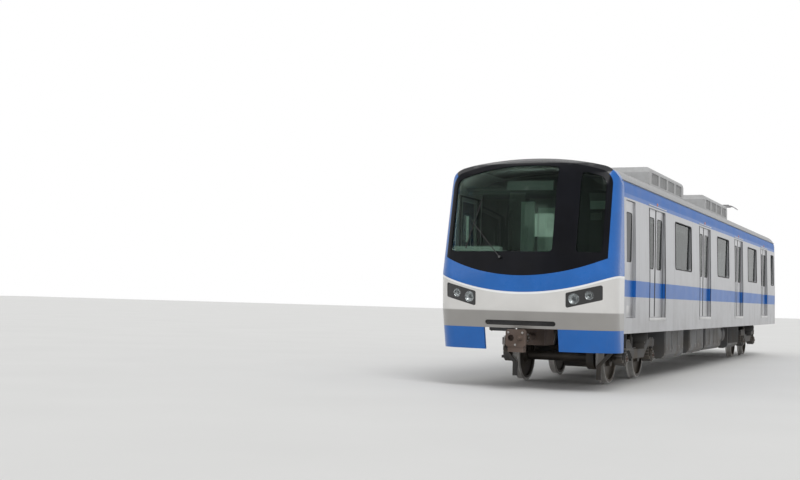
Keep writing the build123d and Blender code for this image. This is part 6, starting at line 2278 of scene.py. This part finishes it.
    def coupler(self) -> None:
        """Bolts round the coupler's collar, an uncoupling handle and air ports on its face."""
        height, face = self.coupler_height, self.face_x
        points, normals = [], []
        for across, up in circle(self.collar_bolts):
            place = (self.collar_circle * across, height + self.collar_circle * up)
            for way in (-1, 1):
                points.append((self.collar_x + way * 0.047, *place))
                normals.append((way, 0, 0))
        bolts("coupler_bolts", points, normals, 0.011, 0.018)
        fittings = Piece("coupler_fittings")
        for y, rise in self.face_ports:
            fittings.drum((face - 0.01, y, height + rise), (face + 0.012, y, height + rise), 0.020, 0.017)
        fittings.tube([(x, y, height + rise) for x, y, rise in self.handle], 0.010)
        fittings.done(BOLT_STEEL, Slot.STEEL)


@dataclass
class RoofGear:
    """The coolers with fan guards, the pantograph, ribs and conduits on the roof.

    Args:
        fan_pitch: The distance between a cooler's two fans.
        lid_bolts: The pitch of the bolts along a cooler's lid, how many lie on each side of its
            middle and their distance from it.
        rib_stretches: Where each set of long ribs starts and ends, and rib_places where they lie.
        conduit_stretches: The points along the car of each conduit.
        coil_place: The raising coils' place against the pantograph's middle and base.
        strip_offset: The carbon strips' distance from the head's middle.
    """

    cooler_places: Pair = (3.600, -2.400)
    cooler_top: float = ROOF_CROWN + 0.330
    fan_pitch: float = 1.300
    fan_radius: float = 0.290
    lid_bolts: tuple[float, int, float] = (0.19, 8, 0.80)
    rib_stretches: Pairs = ((-9.95, -7.85), (-6.0, -4.25), (-0.55, 1.75), (5.45, 9.05))
    rib_places: tuple[float, ...] = (0.30, 0.62, 0.94)
    conduit_stretches: Rows = ((-6.1, -5.2, -4.12), (-0.68, 0.6, 1.88))
    conduit_places: tuple[float, ...] = (0.10, 0.16)
    pan_x: float = -7.275
    pan_base: float = ROOF_CROWN + 0.160
    coil_place: Trio = (0.17, 0.230, 0.028)
    strip_offset: float = 0.180
    strip_size: Trio = (0.0604, 1.052, 0.0175)

    def build(self) -> None:
        """Dresses what stands on the roof."""
        smooth_copies([
            ("roof_coolers", COOLER_PAINT, Slot.ROOF),
            ("pantograph_base", PAN_FRAME, Slot.PAN_PAINT),
            *(("pantograph_" + part, PAN_TUBE, Slot.PAN_STEEL) for part in ("lower", "upper", "head")),
        ])
        self.guards()
        self.ribs()
        self.pantograph()

    def guards(self) -> None:
        """Wire guards over the fans, and bolts along the coolers' lids."""
        z = self.cooler_top + 0.004
        fans = [(x + way * self.fan_pitch / 2, 0, z) for x in self.cooler_places for way in (-1, 1)]
        guard_tree().grow(
            "fan_guards", fans, BARE_STEEL, Slot.STEEL,
            Radius=self.fan_radius + 0.02, Rings=7, Spokes=8, Wire=0.003,
        )
        pitch, count, y = self.lid_bolts
        points = [
            (x + pitch * number, side * y, z)
            for x in self.cooler_places for number in range(-count, count + 1) for side in (-1, 1)
        ]
        bolts("cooler_bolts", points, (0, 0, 1), 0.009, 0.010)

    def ribs(self) -> None:
        """Long ribs and conduits along the roof."""
        ribs, conduits = pieces("roof_ribs", "roof_conduits")
        for start, end in self.rib_stretches:
            for y in self.rib_places:
                ribs.block(((start + end) / 2, y, roof_z(y) + 0.003), (end - start, 0.022, 0.018), 0.004)
        ribs.mirrored().done(ROOF_SHEET, Slot.ROOF)
        for y in self.conduit_places:
            for stretch in self.conduit_stretches:
                conduits.tube([(x, y, roof_z(y) + 0.022) for x in stretch], 0.018, 12)
        conduits.done(RUBBER, Slot.BELLOWS)

    def pantograph(self) -> None:
        """Coils round the raising cylinders, and the carbon strips on the head."""
        along, across, up = self.coil_place
        coils = [(self.pan_x + along, side * across, self.pan_base + up) for side in (-1, 1)]
        coil_tree().grow(
            "raising_coils", coils, BOLT_STEEL, Slot.PAN_STEEL,
            Radius=0.046, Length=0.36, Turns=11.0, Wire=0.006,
        )
        _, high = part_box("pantograph_head")
        strips = Piece("carbon_strips")
        for way in (-1, 1):
            strips.block((self.pan_x + way * self.strip_offset, 0, high.z - 0.0085), self.strip_size, 0.002)
        strips.done(CARBON, Slot.PAN_STEEL, "pantograph_head")


@dataclass
class Studio:
    """Floor, light and camera.

    Args:
        heading: Which way the camera looks round Z, and pitch how far up, in degrees.
        lens: Its focal length on a sensor 36 mm wide, in millimetres.
        floor_reach: Half the floor's width.
        light_level: The share of white by which the surroundings light the car.
        lamps: Each sun's name, direction, strength and spread in degrees.
    """

    camera_place: Trio = (28.165, 5.979, 1.388)
    heading: float = 204.11
    pitch: float = 2.812
    roll: float = 1.5
    lens: float = 54.0
    floor_reach: float = 160.0
    light_level: float = 0.55
    lamps: tuple[tuple[str, Colour, float, float], ...] = (
        ("key", (-0.50, -0.42, -0.76), 1.35, 30.0), ("fill", (-0.72, 0.62, -0.30), 0.45, 60.0)
    )

    def build(self) -> None:
        """Makes the stage."""
        self.floor()
        self.light()
        self.camera()

    def floor(self) -> None:
        """A wide pale floor at the flange tips."""
        bm = bmesh.new()
        bmesh.ops.create_grid(bm, x_segments=1, y_segments=1, size=self.floor_reach)
        mesh = bpy.data.meshes.new("floor")
        bm.to_mesh(mesh)
        bm.free()
        material, bench, shader = new_material("floor_pale")
        tone = bench.mix(bench.noise(0.35), (0.70, 0.70, 0.69, 1.0), (0.76, 0.76, 0.75, 1.0))
        bench.feed(shader, {"Base Color": tone, "Roughness": 0.75})
        mesh.materials.append(material)
        stand("floor", mesh)

    def light(self) -> None:
        """White surroundings to look at, dimmer ones to light by, and two soft suns."""
        world = bpy.data.worlds.new("studio")
        bpy.context.scene.world = world
        world.use_nodes = True
        bench = NodeBench(world.node_tree)
        ray = bench.put("ShaderNodeLightPath")
        seen = bench.calc("ADD", ray.outputs["Is Camera Ray"], ray.outputs["Is Glossy Ray"])
        seen = bench.clamp(bench.calc("ADD", seen, ray.outputs["Is Transmission Ray"]))
        strength = bench.calc("MULTIPLY_ADD", seen, 1.0 - self.light_level, self.light_level)
        bench.feed(world.node_tree.nodes["Background"], {"Color": (1, 1, 1, 1), "Strength": strength})
        for name, way, energy, spread in self.lamps:
            lamp = bpy.data.lights.new(name, "SUN")
            lamp.energy = energy
            lamp.angle = math.radians(spread)
            made = stand(name, lamp)
            made.rotation_mode = "QUATERNION"
            made.rotation_quaternion = Vector(way).to_track_quat("-Z", "Y")
        bpy.context.scene.view_settings.view_transform = "Standard"

    def camera(self) -> None:
        """The camera at the photograph's place, heading and lens."""
        turn, up = math.radians(self.heading), math.radians(self.pitch)
        forward = Vector((math.cos(turn) * math.cos(up), math.sin(turn) * math.cos(up), math.sin(up)))
        level = forward.cross(Vector((0, 0, 1))).normalized()
        upright = level.cross(forward)
        lean = math.radians(self.roll)
        right = level * math.cos(lean) + upright * math.sin(lean)
        top = upright * math.cos(lean) - level * math.sin(lean)
        data = bpy.data.cameras.new("camera")
        data.lens = self.lens
        data.sensor_width = 36.0
        data.clip_end = 500.0
        made = stand("camera", data)
        axes = Matrix((right, top, -forward)).transposed().to_4x4()
        made.matrix_world = Matrix.Translation(self.camera_place) @ axes
        bpy.context.scene.camera = made


def main() -> None:
    """Builds every sub-assembly, and logs each one as it is dressed."""
    logging.basicConfig(level=logging.INFO, format="%(name)s %(message)s")
    for part in (
        Studio, SideWalls, SaloonDoors, Nose, Cab, Saloon, RunningGear, Underfloor, RoofGear
    ):
        part().build()
        log.info("%s is dressed", part.__name__)


if __name__ == "__main__":
    main()
